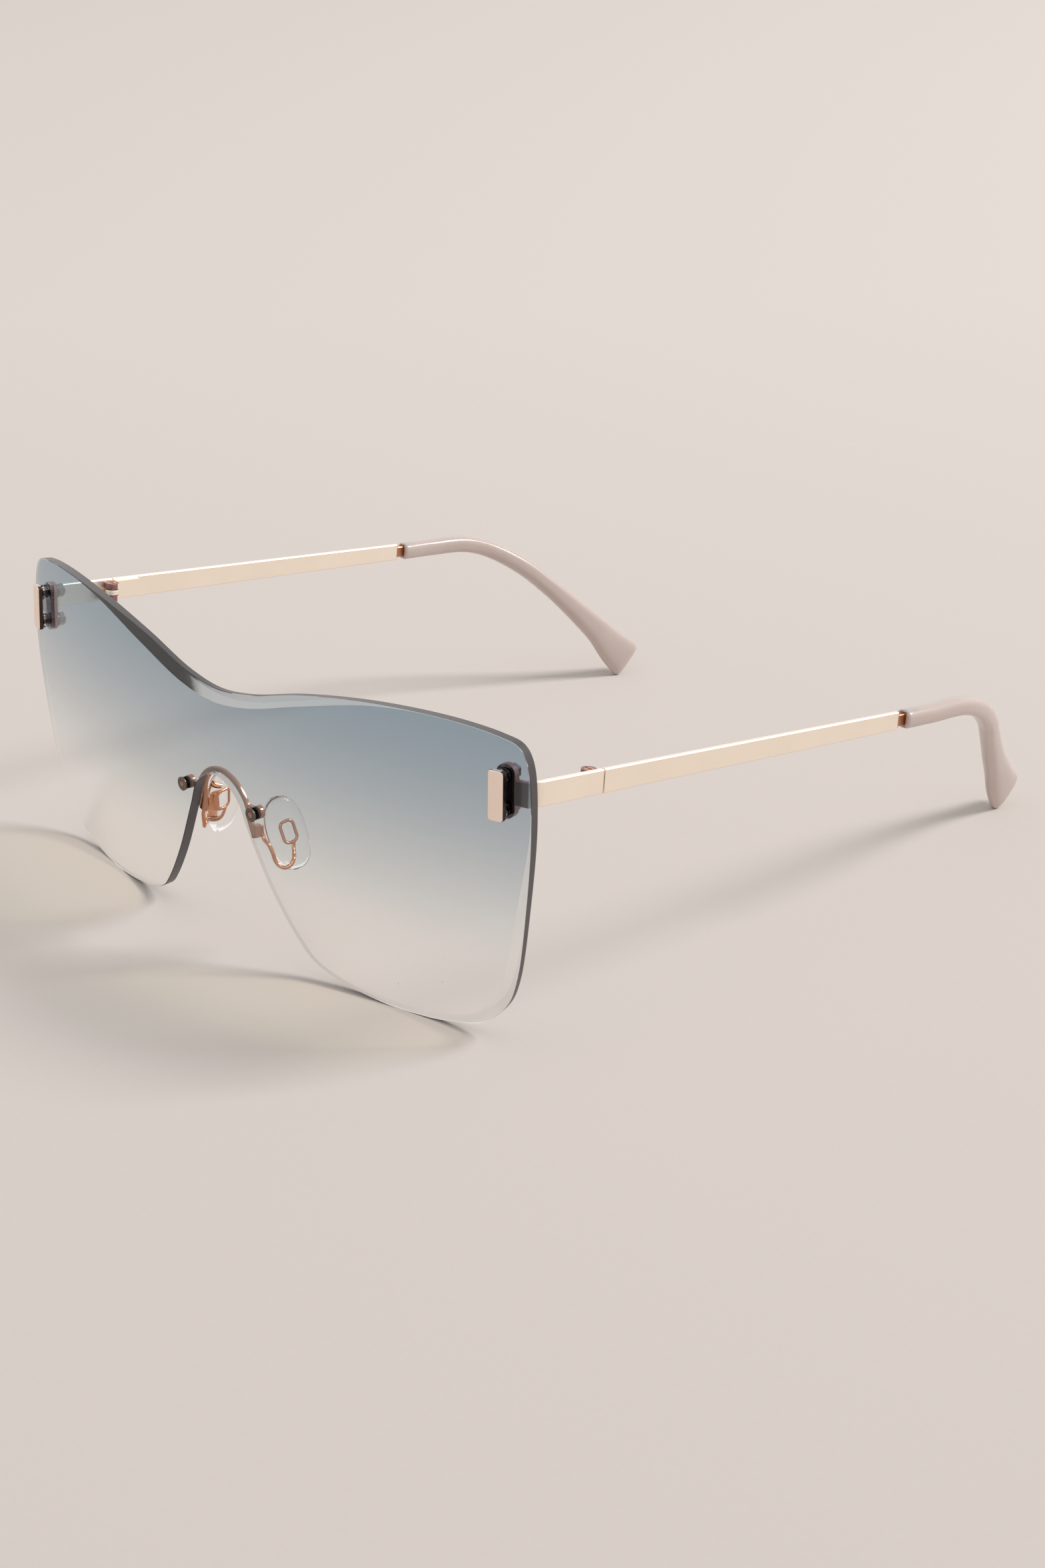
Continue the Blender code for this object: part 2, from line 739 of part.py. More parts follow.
def make_end_pieces(root):
    """Flange, strap and outer knuckles, as one stamped and brazed piece on each side."""
    clamp = clamp_frame()
    start, stop = flange_depths()
    low = (-FLANGE_WIDTH / 2, start, -FLANGE_HEIGHT / 2)
    flange = block(low, (FLANGE_WIDTH / 2, stop, FLANGE_HEIGHT / 2))
    round_edges(flange, 1, FLANGE_CORNER, CORNER_STEPS)
    flange = moved(flange, clamp)
    hinge = hinge_frame()
    knuckles = []
    arm = KNUCKLE_ARM_WIDTH / 2
    reach = KNUCKLE_RADIUS + SEAT_GAP + STRAP_THICKNESS / 2
    lower, _, upper = knuckle_levels()
    for bottom, top in (lower, upper):
        knuckles.append(drum(KNUCKLE_RADIUS, bottom, top, COLLAR_SIDES, hinge))
        low = (0.0, -arm, bottom + JOIN_STEP)
        knuckles.append(moved(block(low, (reach, arm, top - JOIN_STEP)), hinge))
    body = joined(flange, make_strap(), *knuckles)
    tools = []
    for _, height in stud_places():
        axis = clamp @ Matrix.Translation((0.0, 0.0, height)) @ axis_frame(forward=True)
        hole = STUD_RADIUS + BORE_CLEARANCE
        tools.append(drum(hole, start - OVERRUN, stop + OVERRUN, SMALL_SIDES, axis))
    tall = upper[1] + OVERRUN
    tools.append(drum(SCREW_RADIUS + BORE_CLEARANCE, -tall, tall, SMALL_SIDES, hinge))
    seat = upper[1] - SCREW_HEAD_HEIGHT - SEAT_GAP
    tools.append(drum(SCREW_HEAD_RADIUS + BORE_CLEARANCE, seat, tall, COLLAR_SIDES, hinge))
    body = cut(body, *tools)
    add_pair("end_piece", moved(body, clamp.inverted()), clamp, (root, root), GOLD)


def make_strap():
    """The flat strap from the flange, round the lens's edge and back to the hinge gap."""
    clamp = clamp_frame()
    start, stop = flange_depths()
    along, up = temple_axes()
    clamp_up = clamp.to_3x3() @ Vector((0.0, 0.0, 1.0))
    first_angle, last_angle = bend_angles()
    centre = bend_centre()
    outward = clamp.to_3x3() @ Vector((1.0, 0.0, 0.0))
    root_place = clamp @ Vector((0.0, (start + stop) / 2, 0.0))
    frames = [frame_at(root_place, outward, clamp_up)]
    for step in range(BEND_STEPS + 1):
        share = step / BEND_STEPS
        angle = first_angle + (last_angle - first_angle) * share
        heading = Vector((math.cos(angle), math.sin(angle), along.z * share))
        place = centre + BEND_RADIUS * Vector((math.sin(angle), -math.cos(angle), 0.0))
        frames.append(frame_at(place, heading, clamp_up.lerp(up, share)))
    frames.append(frame_at(strap_point(STRAP_LENGTH - HINGE_GAP / 2), along, up))
    heights = [STRAP_HEIGHT] * (BEND_STEPS + 2) + [bar_height(STRAP_LENGTH)]
    rings = []
    for frame, height in zip(frames, heights):
        rings.append(placed(frame, chamfered(STRAP_THICKNESS, height, STRAP_EDGE)))
    return loft(rings)


def make_hinge_screws(root):
    """The slotted screws that the hinges turn on."""
    lower, _, upper = knuckle_levels()
    top = upper[1]
    base = top - SCREW_HEAD_HEIGHT
    head = drum(SCREW_HEAD_RADIUS, base, top, COLLAR_SIDES, Matrix())
    shaft = drum(SCREW_RADIUS, lower[0], base + SCREW_HEAD_HEIGHT / 2, SMALL_SIDES, Matrix())
    wide = SCREW_HEAD_RADIUS + OVERRUN
    slot = SCREW_SLOT_WIDTH / 2
    tool = block((-wide, -slot, top - SCREW_SLOT_DEPTH), (wide, slot, top + OVERRUN))
    screw = cut(joined(head, shaft), tool)
    add_pair("hinge_screw", screw, hinge_frame(), (root, root), ROSE_GOLD)


def tip_path():
    """The tip's centre line, with the paddle's growth as a fourth value."""
    mouth = strap_point(STRAP_LENGTH + TEMPLE_LENGTH)
    drop = mouth.z - TIP_FOOT
    rows = []
    for tuck, run, fall, growth in TIP_PATH_SHARES:
        place = (mouth.x - TIP_TUCK * tuck, mouth.y + TIP_RUN * run, mouth.z - drop * fall)
        rows.append((*place, growth * TIP_HEIGHT))
    return [(Vector(row[:3]), row[3] / TIP_HEIGHT) for row in smooth(rows, TIP_STEPS)]


def core_frames():
    """Frames along the part of the tip that the bar's core fills."""
    points = [point for point, _ in tip_path()]
    side = Vector((1.0, 0.0, 0.0))
    kept = points[: round(len(points) * CORE_REACH_SHARE)]
    frames = []
    for before, here, after in zip([kept[0], *kept], kept, [*kept[1:], kept[-1]]):
        run = (after - before).normalized()
        frames.append(frame_at(here, run, side.cross(run)))
    return frames


def make_temple_bars(parents):
    """The flat bars with their hinge leaf, middle knuckle and core."""
    along, up = temple_axes()
    rings = []
    start = STRAP_LENGTH + HINGE_GAP / 2
    stop = STRAP_LENGTH + TEMPLE_LENGTH - NECK_LENGTH
    for distance in (start, stop):
        frame = frame_at(strap_point(distance), along, up)
        section = chamfered(STRAP_THICKNESS, bar_height(distance), STRAP_EDGE)
        rings.append(placed(frame, section))
    core = chamfered(CORE_THICKNESS, CORE_HEIGHT, STRAP_EDGE)
    rings.append(placed(frame_at(strap_point(stop + BAR_END_TAPER), along, up), core))
    rings.extend(placed(frame, core) for frame in core_frames())
    hinge = hinge_frame()
    middle = knuckle_levels()[1]
    knuckle = drum(KNUCKLE_RADIUS, *middle, COLLAR_SIDES, hinge)
    near = KNUCKLE_RADIUS + LEAF_STEP
    face = KNUCKLE_RADIUS
    high = KNUCKLE_RADIUS + SEAT_GAP + OVERLAP
    arm_low = (face - KNUCKLE_ARM_THICKNESS, 0.0, middle[0] + JOIN_STEP)
    arm = block(arm_low, (face - JOIN_STEP, near + OVERLAP, middle[1] - JOIN_STEP))
    plate_low = (face - LEAF_THICKNESS, near, -LEAF_HEIGHT / 2)
    plate = block(plate_low, (high, near + LEAF_LENGTH, LEAF_HEIGHT / 2))
    body = joined(loft(rings), moved(plate, hinge), moved(arm, hinge), knuckle)
    tall = middle[1] + OVERRUN
    body = cut(body, drum(SCREW_RADIUS + BORE_CLEARANCE, -tall, tall, SMALL_SIDES, hinge))
    add_pair("temple_bar", moved(body, hinge.inverted()), hinge, parents, GOLD)


def make_temple_tips(parents):
    """The moulded tips, each with a bore for the bar's core."""
    path = tip_path()
    side = Vector((1.0, 0.0, 0.0))
    points = [point for point, _ in path]
    runs = []
    for before, after in zip([points[0], *points], [*points[1:], points[-1]]):
        runs.append((after - before).normalized())
    rings = []
    for step in range(RIM_STEPS):
        angle = math.pi / 2 * step / RIM_STEPS
        inset = TIP_RIM * (1 - math.sin(angle))
        place = points[0] + runs[0] * TIP_RIM * (1 - math.cos(angle))
        frame = frame_at(place, runs[0], side.cross(runs[0]))
        rings.append(placed(frame, tip_section(0.0, inset)))
    for (point, growth), run in zip(path[1:], runs[1:]):
        frame = frame_at(point, run, side.cross(run))
        rings.append(placed(frame, tip_section(growth, 0.0)))
    for step in range(1, RIM_STEPS + 1):
        angle = math.pi / 2 * step / (RIM_STEPS + 1)
        inset = PADDLE_RIM * (1 - math.cos(angle))
        place = points[-1] + runs[-1] * PADDLE_RIM * math.sin(angle)
        frame = frame_at(place, runs[-1], side.cross(runs[-1]))
        rings.append(placed(frame, tip_section(1.0, inset)))
    frames = core_frames()
    wide = CORE_THICKNESS + 2 * CORE_CLEARANCE
    tall = CORE_HEIGHT + 2 * CORE_CLEARANCE
    bore = chamfered(wide, tall, STRAP_EDGE)
    ends = []
    for frame, reach in ((frames[0], -OVERRUN), (frames[-1], CORE_CLEARANCE)):
        ends.append(frame @ Matrix.Translation((0.0, reach, 0.0)))
    tool = loft([placed(frame, bore) for frame in (ends[0], *frames[:-1], ends[1])])
    hinge = hinge_frame()
    body = moved(cut(loft(rings), tool), hinge.inverted())
    add_pair("temple_tip", body, hinge, parents, TAUPE)


def tip_section(growth, inset):
    """The tip's section where it has grown by a share towards the paddle."""
    wide = TIP_THICKNESS + (PADDLE_THICKNESS - TIP_THICKNESS) * growth - 2 * inset
    tall = TIP_HEIGHT + (PADDLE_WIDTH - TIP_HEIGHT) * growth - 2 * inset
    return oval(wide, tall, TIP_SIDES, TIP_EXPONENT)


def arch_points():
    """The bridge's centre line behind the lens, from the left foot over to the right foot."""
    depth = LENS_THICKNESS + SEAT_GAP + ARCH_DEPTH / 2
    half = [np.array((x * LENS_WIDTH / 2, z * LENS_HEIGHT)) for x, z in ARCH_SHARES]
    whole = [row for row in reversed(half)] + [row * np.array((-1, 1)) for row in half[1:]]
    return [lens_spot(x, z, depth) for x, z in smooth(whole, PATH_STEPS)]


def make_bridge(root):
    """The arch with its lugs, pegs and feet."""
    section = chamfered(ARCH_WIDTH, ARCH_DEPTH, ARCH_EDGE)
    back = Vector((0.0, 1.0, 0.0))
    points = arch_points()
    arch = loft([placed(frame, section) for frame in path_frames(points, back)])
    peg = peg_frame()
    start = LENS_THICKNESS + SEAT_GAP
    forward = axis_frame(forward=True)
    lug = drum(LUG_RADIUS, start, start + LUG_THICKNESS, COLLAR_SIDES, peg @ forward)
    inner = peg.inverted() @ arch_spot_at(peg.translation.z)
    low = (inner.x, start + JOIN_STEP, -LUG_WIDTH / 2)
    bar = block(low, (0.0, start + LUG_THICKNESS - JOIN_STEP, LUG_WIDTH / 2))
    pin_front = -SEAT_GAP - NOSE_COLLAR_THICKNESS
    pin = drum(PEG_RADIUS, pin_front, start + OVERLAP, SMALL_SIDES, peg @ forward)
    wing = joined(lug, moved(bar, peg), pin, make_foot())
    other = moved(wing.copy(), MIRROR)
    add_piece("nose_bridge", joined(arch, wing, other), Matrix(), root, ROSE_GOLD)
    bushing = make_bushing(
        NOSE_COLLAR_RADIUS,
        NOSE_COLLAR_THICKNESS,
        PEG_RADIUS + BORE_CLEARANCE + NOSE_SLEEVE_WALL,
        PEG_RADIUS,
    )
    add_pair("nose_bushing", bushing, peg, (root, root), CLEAR)


def arch_spot_at(height):
    """The point of the arch's left half that is nearest a height."""
    left = [point for point in arch_points() if point.x > 0]
    return min(left, key=lambda point: abs(point.z - height))


def foot_place():
    """The middle of the left foot, on the arch's end."""
    back = (FOOT_DEPTH - ARCH_DEPTH) / 2 + JOIN_STEP
    return arch_points()[0] + Vector((0.0, back, FOOT_HEIGHT / 2))


def make_foot():
    """The block at the arch's left end that the pad's wire is brazed to."""
    half = Vector((FOOT_WIDTH, FOOT_DEPTH, FOOT_HEIGHT)) / 2
    foot = block(foot_place() - half, foot_place() + half)
    round_edges(foot, 1, FOOT_BEVEL, BEVEL_STEPS)
    return foot


def pad_frame():
    """The left pad's frame, carried by the foot: local Z along it, local X towards its wire."""
    place = foot_place() + Vector((PAD_OUTSET, PAD_SETBACK, -PAD_DROP))
    lean = Vector(PAD_LEAN_SHARES).normalized()
    facing = Vector(PAD_FACING_SHARES)
    frame = frame_at(place, lean.cross(facing), lean)
    return frame


def loop_points():
    """The wire loop inside the left pad, a rectangle with round corners."""
    frame = pad_frame()
    points = []
    x = LOOP_WIDTH / 2 - LOOP_CORNER
    z = LOOP_HEIGHT / 2 - LOOP_CORNER
    for corner, (across, up) in enumerate(((x, z), (-x, z), (-x, -z), (x, -z))):
        for step in range(CORNER_STEPS):
            angle = math.pi / 2 * (corner + step / (CORNER_STEPS - 1))
            y = across + LOOP_CORNER * math.cos(angle)
            height = up + LOOP_CORNER * math.sin(angle)
            points.append(frame @ Vector((LOOP_SEAT, y, height + LOOP_UP)))
    return points


def arm_points():
    """The left wire's centre line, from the foot down, round and up to the loop."""
    behind = FOOT_DEPTH / 2 + SEAT_GAP + ARM_RADIUS
    start = foot_place() + Vector((0.0, behind, ARM_LIFT))
    points = []
    for x, y, z in ARM_PATH_SHARES:
        points.append(start + Vector((ARM_REACH * x, ARM_DEPTH * y, -ARM_DROP * z)))
    loop = loop_points()
    points.append(loop[-CORNER_STEPS])
    return [Vector(point) for point in smooth(points, WIRE_STEPS)]


def make_pad_wire(extra):
    """The bent wire with its loop, thickened by an extra radius."""
    facing = pad_frame().to_3x3() @ Vector((1.0, 0.0, 0.0))
    arm = tube(arm_points(), ARM_RADIUS + extra, facing)
    loop = tube(loop_points(), LOOP_RADIUS + extra, facing, closed=True)
    return joined(loop, arm)


def make_pads(root):
    """The wire arms and the clear pads moulded round their loops."""
    frame = pad_frame()
    arm = moved(make_pad_wire(0.0), frame.inverted())
    add_pair("pad_arm", arm, frame, (root, root), ROSE_GOLD)
    rings = []
    for step in range(-RIM_STEPS, RIM_STEPS + 1):
        angle = math.pi / 2 * (1 - PAD_FLAT_SHARE) * step / RIM_STEPS
        depth = math.sin(angle) * (PAD_ARM_SIDE if step > 0 else PAD_NOSE_SIDE)
        share = math.cos(angle) ** PAD_ROUNDNESS
        ring = []
        for point in oval(PAD_WIDTH * share, PAD_LENGTH * share, PAD_SIDES, PAD_EXPONENT):
            ring.append(Vector((depth, point.x, point.z)))
        rings.append(ring)
    body = cut(loft(rings), moved(make_pad_wire(SEAT_GAP), frame.inverted()))
    add_pair("nose_pad", body, frame, (root, root), CLEAR)


def centre_on_floor(root):
    """Move the whole part so that its origin is the middle of its box's underside."""
    bpy.context.view_layer.update()
    corners = []
    for item in bpy.data.objects:
        if item.type == "MESH":
            corners.extend(item.matrix_world @ vert.co for vert in item.data.vertices)
    low = Vector([min(corner[axis] for corner in corners) for axis in range(3)])
    high = Vector([max(corner[axis] for corner in corners) for axis in range(3)])
    root.location -= Vector(((low.x + high.x) / 2, (low.y + high.y) / 2, low.z))
    bpy.context.view_layer.update()


def main():
    """Build the sunglasses, temples open."""
    clear_scene()
    root = add_empty("sunglasses", None, Matrix())
    hinge = hinge_frame()
    left = add_empty("hinge_left", root, hinge)
    right = add_empty("hinge_right", root, MIRROR @ hinge @ MIRROR)
    make_lens(root)
    make_clamps(root)
    make_end_pieces(root)
    make_hinge_screws(root)
    make_temple_bars((left, right))
    make_temple_tips((left, right))
    make_bridge(root)
    make_pads(root)
    centre_on_floor(root)


main()
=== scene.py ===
"""Rimless shield sunglasses on a pale table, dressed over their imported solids.

Metres, +Z up. The lens faces -Y, the wearer's left is +X, and the pieces rest on Z = 0.
"""

import logging
import math
from collections.abc import Iterator
from contextlib import contextmanager
from dataclasses import dataclass
from enum import Enum, IntEnum

import bmesh
import bpy
import numpy as np
from mathutils import Matrix, Vector

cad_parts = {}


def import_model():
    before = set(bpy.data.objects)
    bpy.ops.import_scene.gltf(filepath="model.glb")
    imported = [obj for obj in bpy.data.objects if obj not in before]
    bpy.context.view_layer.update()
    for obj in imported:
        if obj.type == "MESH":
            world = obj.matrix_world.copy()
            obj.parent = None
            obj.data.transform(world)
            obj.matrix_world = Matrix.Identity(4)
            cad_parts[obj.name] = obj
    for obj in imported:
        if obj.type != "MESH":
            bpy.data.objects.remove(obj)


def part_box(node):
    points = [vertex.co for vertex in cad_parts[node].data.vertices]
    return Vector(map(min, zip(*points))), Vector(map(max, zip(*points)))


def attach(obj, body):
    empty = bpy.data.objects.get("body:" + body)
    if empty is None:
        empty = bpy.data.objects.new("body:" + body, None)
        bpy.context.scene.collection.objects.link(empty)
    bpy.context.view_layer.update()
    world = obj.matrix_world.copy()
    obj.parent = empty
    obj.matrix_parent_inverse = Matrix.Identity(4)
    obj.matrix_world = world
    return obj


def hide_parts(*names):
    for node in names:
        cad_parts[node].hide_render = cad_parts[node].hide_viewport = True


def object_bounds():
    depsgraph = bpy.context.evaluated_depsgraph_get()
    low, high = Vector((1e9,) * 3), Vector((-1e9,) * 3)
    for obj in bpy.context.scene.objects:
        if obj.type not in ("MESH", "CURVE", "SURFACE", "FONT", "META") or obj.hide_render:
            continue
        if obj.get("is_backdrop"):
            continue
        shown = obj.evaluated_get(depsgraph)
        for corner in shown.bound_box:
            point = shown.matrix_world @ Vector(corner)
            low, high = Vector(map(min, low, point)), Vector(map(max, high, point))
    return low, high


LOG = logging.getLogger("sunglasses")
MERGE_DISTANCE = 0.000002
CUT_THRESHOLD = 0.0000002
# The colour sockets of a Mix node, which shares their names among its data types
MIX_NEAR = 6
MIX_FAR = 7
MIX_RESULT = 2

Colour = tuple[float, float, float]
Span = tuple[float, float]
Points = list[Vector]


class Side(Enum):
    """The wearer's left and right, as the sign of X and the end of a node's name."""

    LEFT = (1.0, "left")
    RIGHT = (-1.0, "right")

    @property
    def sign(self) -> float:
        """The sign of X on this side."""
        return self.value[0]

    @property
    def word(self) -> str:
        """The word that ends this side's node names."""
        return self.value[1]

    @property
    def flip(self) -> Matrix:
        """The matrix that takes the left piece to this side."""
        return Matrix.Diagonal((self.sign, 1.0, 1.0, 1.0))


class Slot(Enum):
    """The record's material slots."""

    GOLD = "gold"
    ROSE_GOLD = "rose_gold"
    STEEL = "steel"
    LENS = "tinted_lens"
    CLEAR = "clear_plastic"
    TAUPE = "taupe_plastic"


class LensFinish(IntEnum):
    """The numbers of the lens's finishes, in the order in which it is dressed."""

    TINT = 0
    FACET = 1
    RIM = 2


class Graph:
    """A small helper that adds and joins shader nodes in one tree."""

    def __init__(self, tree: bpy.types.NodeTree) -> None:
        """Keep the tree and start without its nodes."""
        self.tree = tree
        tree.nodes.clear()

    def add(self, kind: str, inputs: dict | None = None, **settings: object) -> bpy.types.Node:
        """Add one node.

        Args:
            kind: The node's type, without the word that all shader nodes start with.
            inputs: Values or sockets for inputs, by name or index.
            settings: Properties of the node.

        Returns:
            The new node.
        """
        known = kind if kind.startswith("NodeGroup") else f"ShaderNode{kind}"
        node = self.tree.nodes.new(known)
        for name, value in settings.items():
            setattr(node, name, value)
        for key, value in (inputs or {}).items():
            if isinstance(value, bpy.types.NodeSocket):
                self.tree.links.new(value, node.inputs[key])
            else:
                node.inputs[key].default_value = value
        return node

    def group(self, tree: bpy.types.NodeTree, **values: object) -> bpy.types.Node:
        """Add a shared group.

        Args:
            tree: The group's tree.
            values: Values for its inputs, by name.

        Returns:
            The group's node.
        """
        node = self.add("Group", node_tree=tree)
        for name, value in values.items():
            node.inputs[name].default_value = value
        return node

    def place(self) -> bpy.types.NodeSocket:
        """The Object coordinates, which stay with a piece's own mesh."""
        return self.add("TexCoord").outputs["Object"]

    def remap(
        self,
        value: bpy.types.NodeSocket,
        given: Span = (0.0, 1.0),
        wanted: Span = (0.0, 1.0),
        **settings: object,
    ) -> bpy.types.NodeSocket:
        """Take a value from one range to another.

        Args:
            value: The value's socket.
            given: The range that it is taken from.
            wanted: The range that it is taken to.
            settings: Properties of the node.

        Returns:
            The new value's socket.
        """
        inputs = {"Value": value, "From Min": given[0], "From Max": given[1]}
        inputs.update({"To Min": wanted[0], "To Max": wanted[1]})
        return self.add("MapRange", inputs, **settings).outputs["Result"]

    def swung(self, mask: bpy.types.NodeSocket, level: float, swing: Span) -> bpy.types.NodeSocket:
        """A value between two shares of its level, by a mask."""
        return self.remap(mask, wanted=(level * swing[0], level * swing[1]))

    def blend(
        self, share: object, near: object, far: object, way: str = "MIX"
    ) -> bpy.types.NodeSocket:
        """Mix two colours.

        Args:
            share: How much of the second, as a value or a mask.
            near: The first colour or its socket.
            far: The second colour or its socket.
            way: How they are mixed.

        Returns:
            The mixed colour's socket.
        """
        inputs = {"Factor": share, MIX_NEAR: near, MIX_FAR: far}
        node = self.add("Mix", inputs, data_type="RGBA", blend_type=way)
        return node.outputs[MIX_RESULT]

    def toned(self, mask: bpy.types.NodeSocket, colour: Colour, tones: Span) -> bpy.types.NodeSocket:
        """A colour between two shares of its tone, by a mask."""
        return self.blend(mask, shade(colour, tones[0]), shade(colour, tones[1]))

    def relief(self, mask: bpy.types.NodeSocket, strength: float, depth: float) -> bpy.types.NodeSocket:
        """The normal of a surface that a mask raises."""
        return self.add("Bump", {"Height": mask, "Strength": strength, "Distance": depth}).outputs[0]

    def mixed(
        self, share: bpy.types.NodeSocket, near: bpy.types.Node, far: bpy.types.Node
    ) -> bpy.types.Node:
        """Mix two shaders by a share of the second."""
        return self.add("MixShader", {0: share, 1: near.outputs[0], 2: far.outputs[0]})

    def finish(self, shader: bpy.types.Node) -> None:
        """Join the last shader to the material's output."""
        self.add("OutputMaterial", {"Surface": shader.outputs[0]})


def rgba(colour: Colour) -> tuple[float, float, float, float]:
    """A colour with full alpha."""
    return (*colour, 1.0)


def shade(colour: Colour, share: float) -> tuple[float, float, float, float]:
    """A colour made darker or lighter by a share, with full alpha."""
    return rgba(tuple(min(1.0, part * share) for part in colour))


def new_material(name: str) -> tuple[bpy.types.Material, Graph]:
    """Make a material that has no nodes yet.

    Args:
        name: Its name.

    Returns:
        The material and the graph that its nodes go into.
    """
    material = bpy.data.materials.new(name)
    material.use_nodes = True
    return material, Graph(material.node_tree)


class SurfaceGroups:
    """The node groups that several finishes share."""

    cloud_scale: float = 160.0
    smear_limits: Span = (0.45, 0.75)
    speck_limits: Span = (0.03, 0.07)
    speck_rarity: float = 0.985

    def __init__(self) -> None:
        """Build each group once."""
        self.grain = self._grain()
        self.handling = self._handling()

    @staticmethod
    def _start(name: str, inputs: tuple, outputs: tuple) -> tuple[Graph, bpy.types.Node]:
        """Make a group's tree with its sockets.

        Args:
            name: The group's name.
            inputs: Name, socket type and starting value of each input.
            outputs: Name and socket type of each output.

        Returns:
            The graph and its input node.
        """
        tree = bpy.data.node_groups.new(name, "ShaderNodeTree")
        for label, kind, value in inputs:
            socket = tree.interface.new_socket(label, in_out="INPUT", socket_type=kind)
            socket.default_value = value
        for label, kind in outputs:
            tree.interface.new_socket(label, in_out="OUTPUT", socket_type=kind)
        graph = Graph(tree)
        return graph, graph.add("NodeGroupInput")

    def _grain(self) -> bpy.types.NodeTree:
        """Build the fine lines of polishing, and soft clouds.

        Returns:
            The group, which puts out one mask of each.
        """
        inputs = (("Stretch", "NodeSocketVector", (1.0, 1.0, 1.0)), ("Scale", "NodeSocketFloat", 1.0))
        outputs = (("Lines", "NodeSocketFloat"), ("Cloud", "NodeSocketFloat"))
        graph, given = self._start("polishing_grain", inputs, outputs)
        place = graph.add("Mapping", {"Vector": graph.place(), "Scale": given.outputs["Stretch"]})
        wanted = {"Vector": place.outputs[0], "Scale": given.outputs["Scale"], "Detail": 3.0}
        lines = graph.add("TexNoise", wanted)
        wanted = {"Vector": graph.place(), "Scale": self.cloud_scale, "Detail": 2.0}
        cloud = graph.add("TexNoise", wanted)
        graph.add("NodeGroupOutput", {"Lines": lines.outputs[0], "Cloud": cloud.outputs[0]})
        return graph.tree

    def _handling(self) -> bpy.types.NodeTree:
        """Build faint finger smears, and a few dust specks.

        Returns:
            The group, which puts out one mask of each.
        """
        inputs = (("Smear Scale", "NodeSocketFloat", 60.0), ("Speck Scale", "NodeSocketFloat", 500.0))
        outputs = (("Smears", "NodeSocketFloat"), ("Specks", "NodeSocketFloat"))
        graph, given = self._start("handling_marks", inputs, outputs)
        wanted = {"Vector": graph.place(), "Scale": given.outputs["Smear Scale"]}
        wanted.update({"Detail": 4.0, "Distortion": 1.5})
        cloud = graph.add("TexNoise", wanted).outputs[0]
        smears = graph.remap(cloud, self.smear_limits, interpolation_type="SMOOTHSTEP")
        wanted = {"Vector": graph.place(), "Scale": given.outputs["Speck Scale"]}
        cells = graph.add("TexVoronoi", wanted)
        dots = graph.remap(cells.outputs["Distance"], self.speck_limits, (1.0, 0.0))
        parts = graph.add("SeparateColor", {"Color": cells.outputs["Color"]})
        few = graph.add("Math", {0: parts.outputs[0], 1: self.speck_rarity}, operation="GREATER_THAN")
        specks = graph.add("Math", {0: dots, 1: few.outputs[0]}, operation="MULTIPLY")
        graph.add("NodeGroupOutput", {"Smears": smears, "Specks": specks.outputs[0]})
        return graph.tree


@dataclass(frozen=True)
class Metal:
    """A plated metal, polished with fine lines along one direction."""

    name: str
    colour: Colour
    rough: float
    stretch: tuple[float, float, float] = (1.0, 0.06, 1.0)
    metallic: float = 1.0
    tones: Span = (0.96, 1.03)
    rough_swing: Span = (0.9, 1.1)
    smear_rough: float = 0.06
    grain_scale: float = 6000.0
    relief: float = 0.000001
    relief_strength: float = 0.15

    def make(self, groups: SurfaceGroups) -> bpy.types.Material:
        """Build the material.

        Args:
            groups: The shared groups.

        Returns:
            The material.
        """
        material, graph = new_material(self.name)
        grain = graph.group(groups.grain, Stretch=self.stretch, Scale=self.grain_scale)
        marks = graph.group(groups.handling)
        colour = graph.toned(grain.outputs["Cloud"], self.colour, self.tones)
        rough = graph.swung(grain.outputs["Lines"], self.rough, self.rough_swing)
        smear = graph.remap(marks.outputs["Smears"], wanted=(0.0, self.smear_rough))
        rough = graph.add("Math", {0: rough, 1: smear}, operation="ADD").outputs[0]
        normal = graph.relief(grain.outputs["Lines"], self.relief_strength, self.relief)
        inputs = {"Base Color": colour, "Roughness": rough, "Metallic": self.metallic, "Normal": normal}
        graph.finish(graph.add("BsdfPrincipled", inputs))
        return material


@dataclass(frozen=True)
class Moulded:
    """An opaque moulded plastic under a clear gloss coat."""

    name: str
    colour: Colour
    rough: float = 0.34
    coat: float = 0.55
    coat_rough: float = 0.1
    index: float = 1.48
    depth_share: float = 0.0
    depth: float = 0.0025
    depth_colour: Colour = (1.0, 0.8, 0.7)
    tones: Span = (0.95, 1.05)
    speck_tone: float = 1.5
    rough_swing: Span = (0.85, 1.3)
    grain_scale: float = 1400.0
    relief: float = 0.000004
    relief_strength: float = 0.3

    def make(self, groups: SurfaceGroups) -> bpy.types.Material:
        """Build the material.

        Args:
            groups: The shared groups.

        Returns:
            The material.
        """
        material, graph = new_material(self.name)
        grain = graph.group(groups.grain, Scale=self.grain_scale)
        marks = graph.group(groups.handling)
        colour = graph.toned(grain.outputs["Cloud"], self.colour, self.tones)
        colour = graph.blend(marks.outputs["Specks"], colour, shade(self.colour, self.speck_tone))
        rough = graph.swung(marks.outputs["Smears"], self.rough, self.rough_swing)
        normal = graph.relief(grain.outputs["Lines"], self.relief_strength, self.relief)
        inputs = {"Base Color": colour, "Roughness": rough, "Normal": normal, "IOR": self.index}
        inputs.update({"Coat Weight": self.coat, "Coat Roughness": self.coat_rough})
        inputs.update({"Subsurface Weight": self.depth_share, "Subsurface Scale": self.depth})
        inputs["Subsurface Radius"] = self.depth_colour
        graph.finish(graph.add("BsdfPrincipled", inputs))
        return material


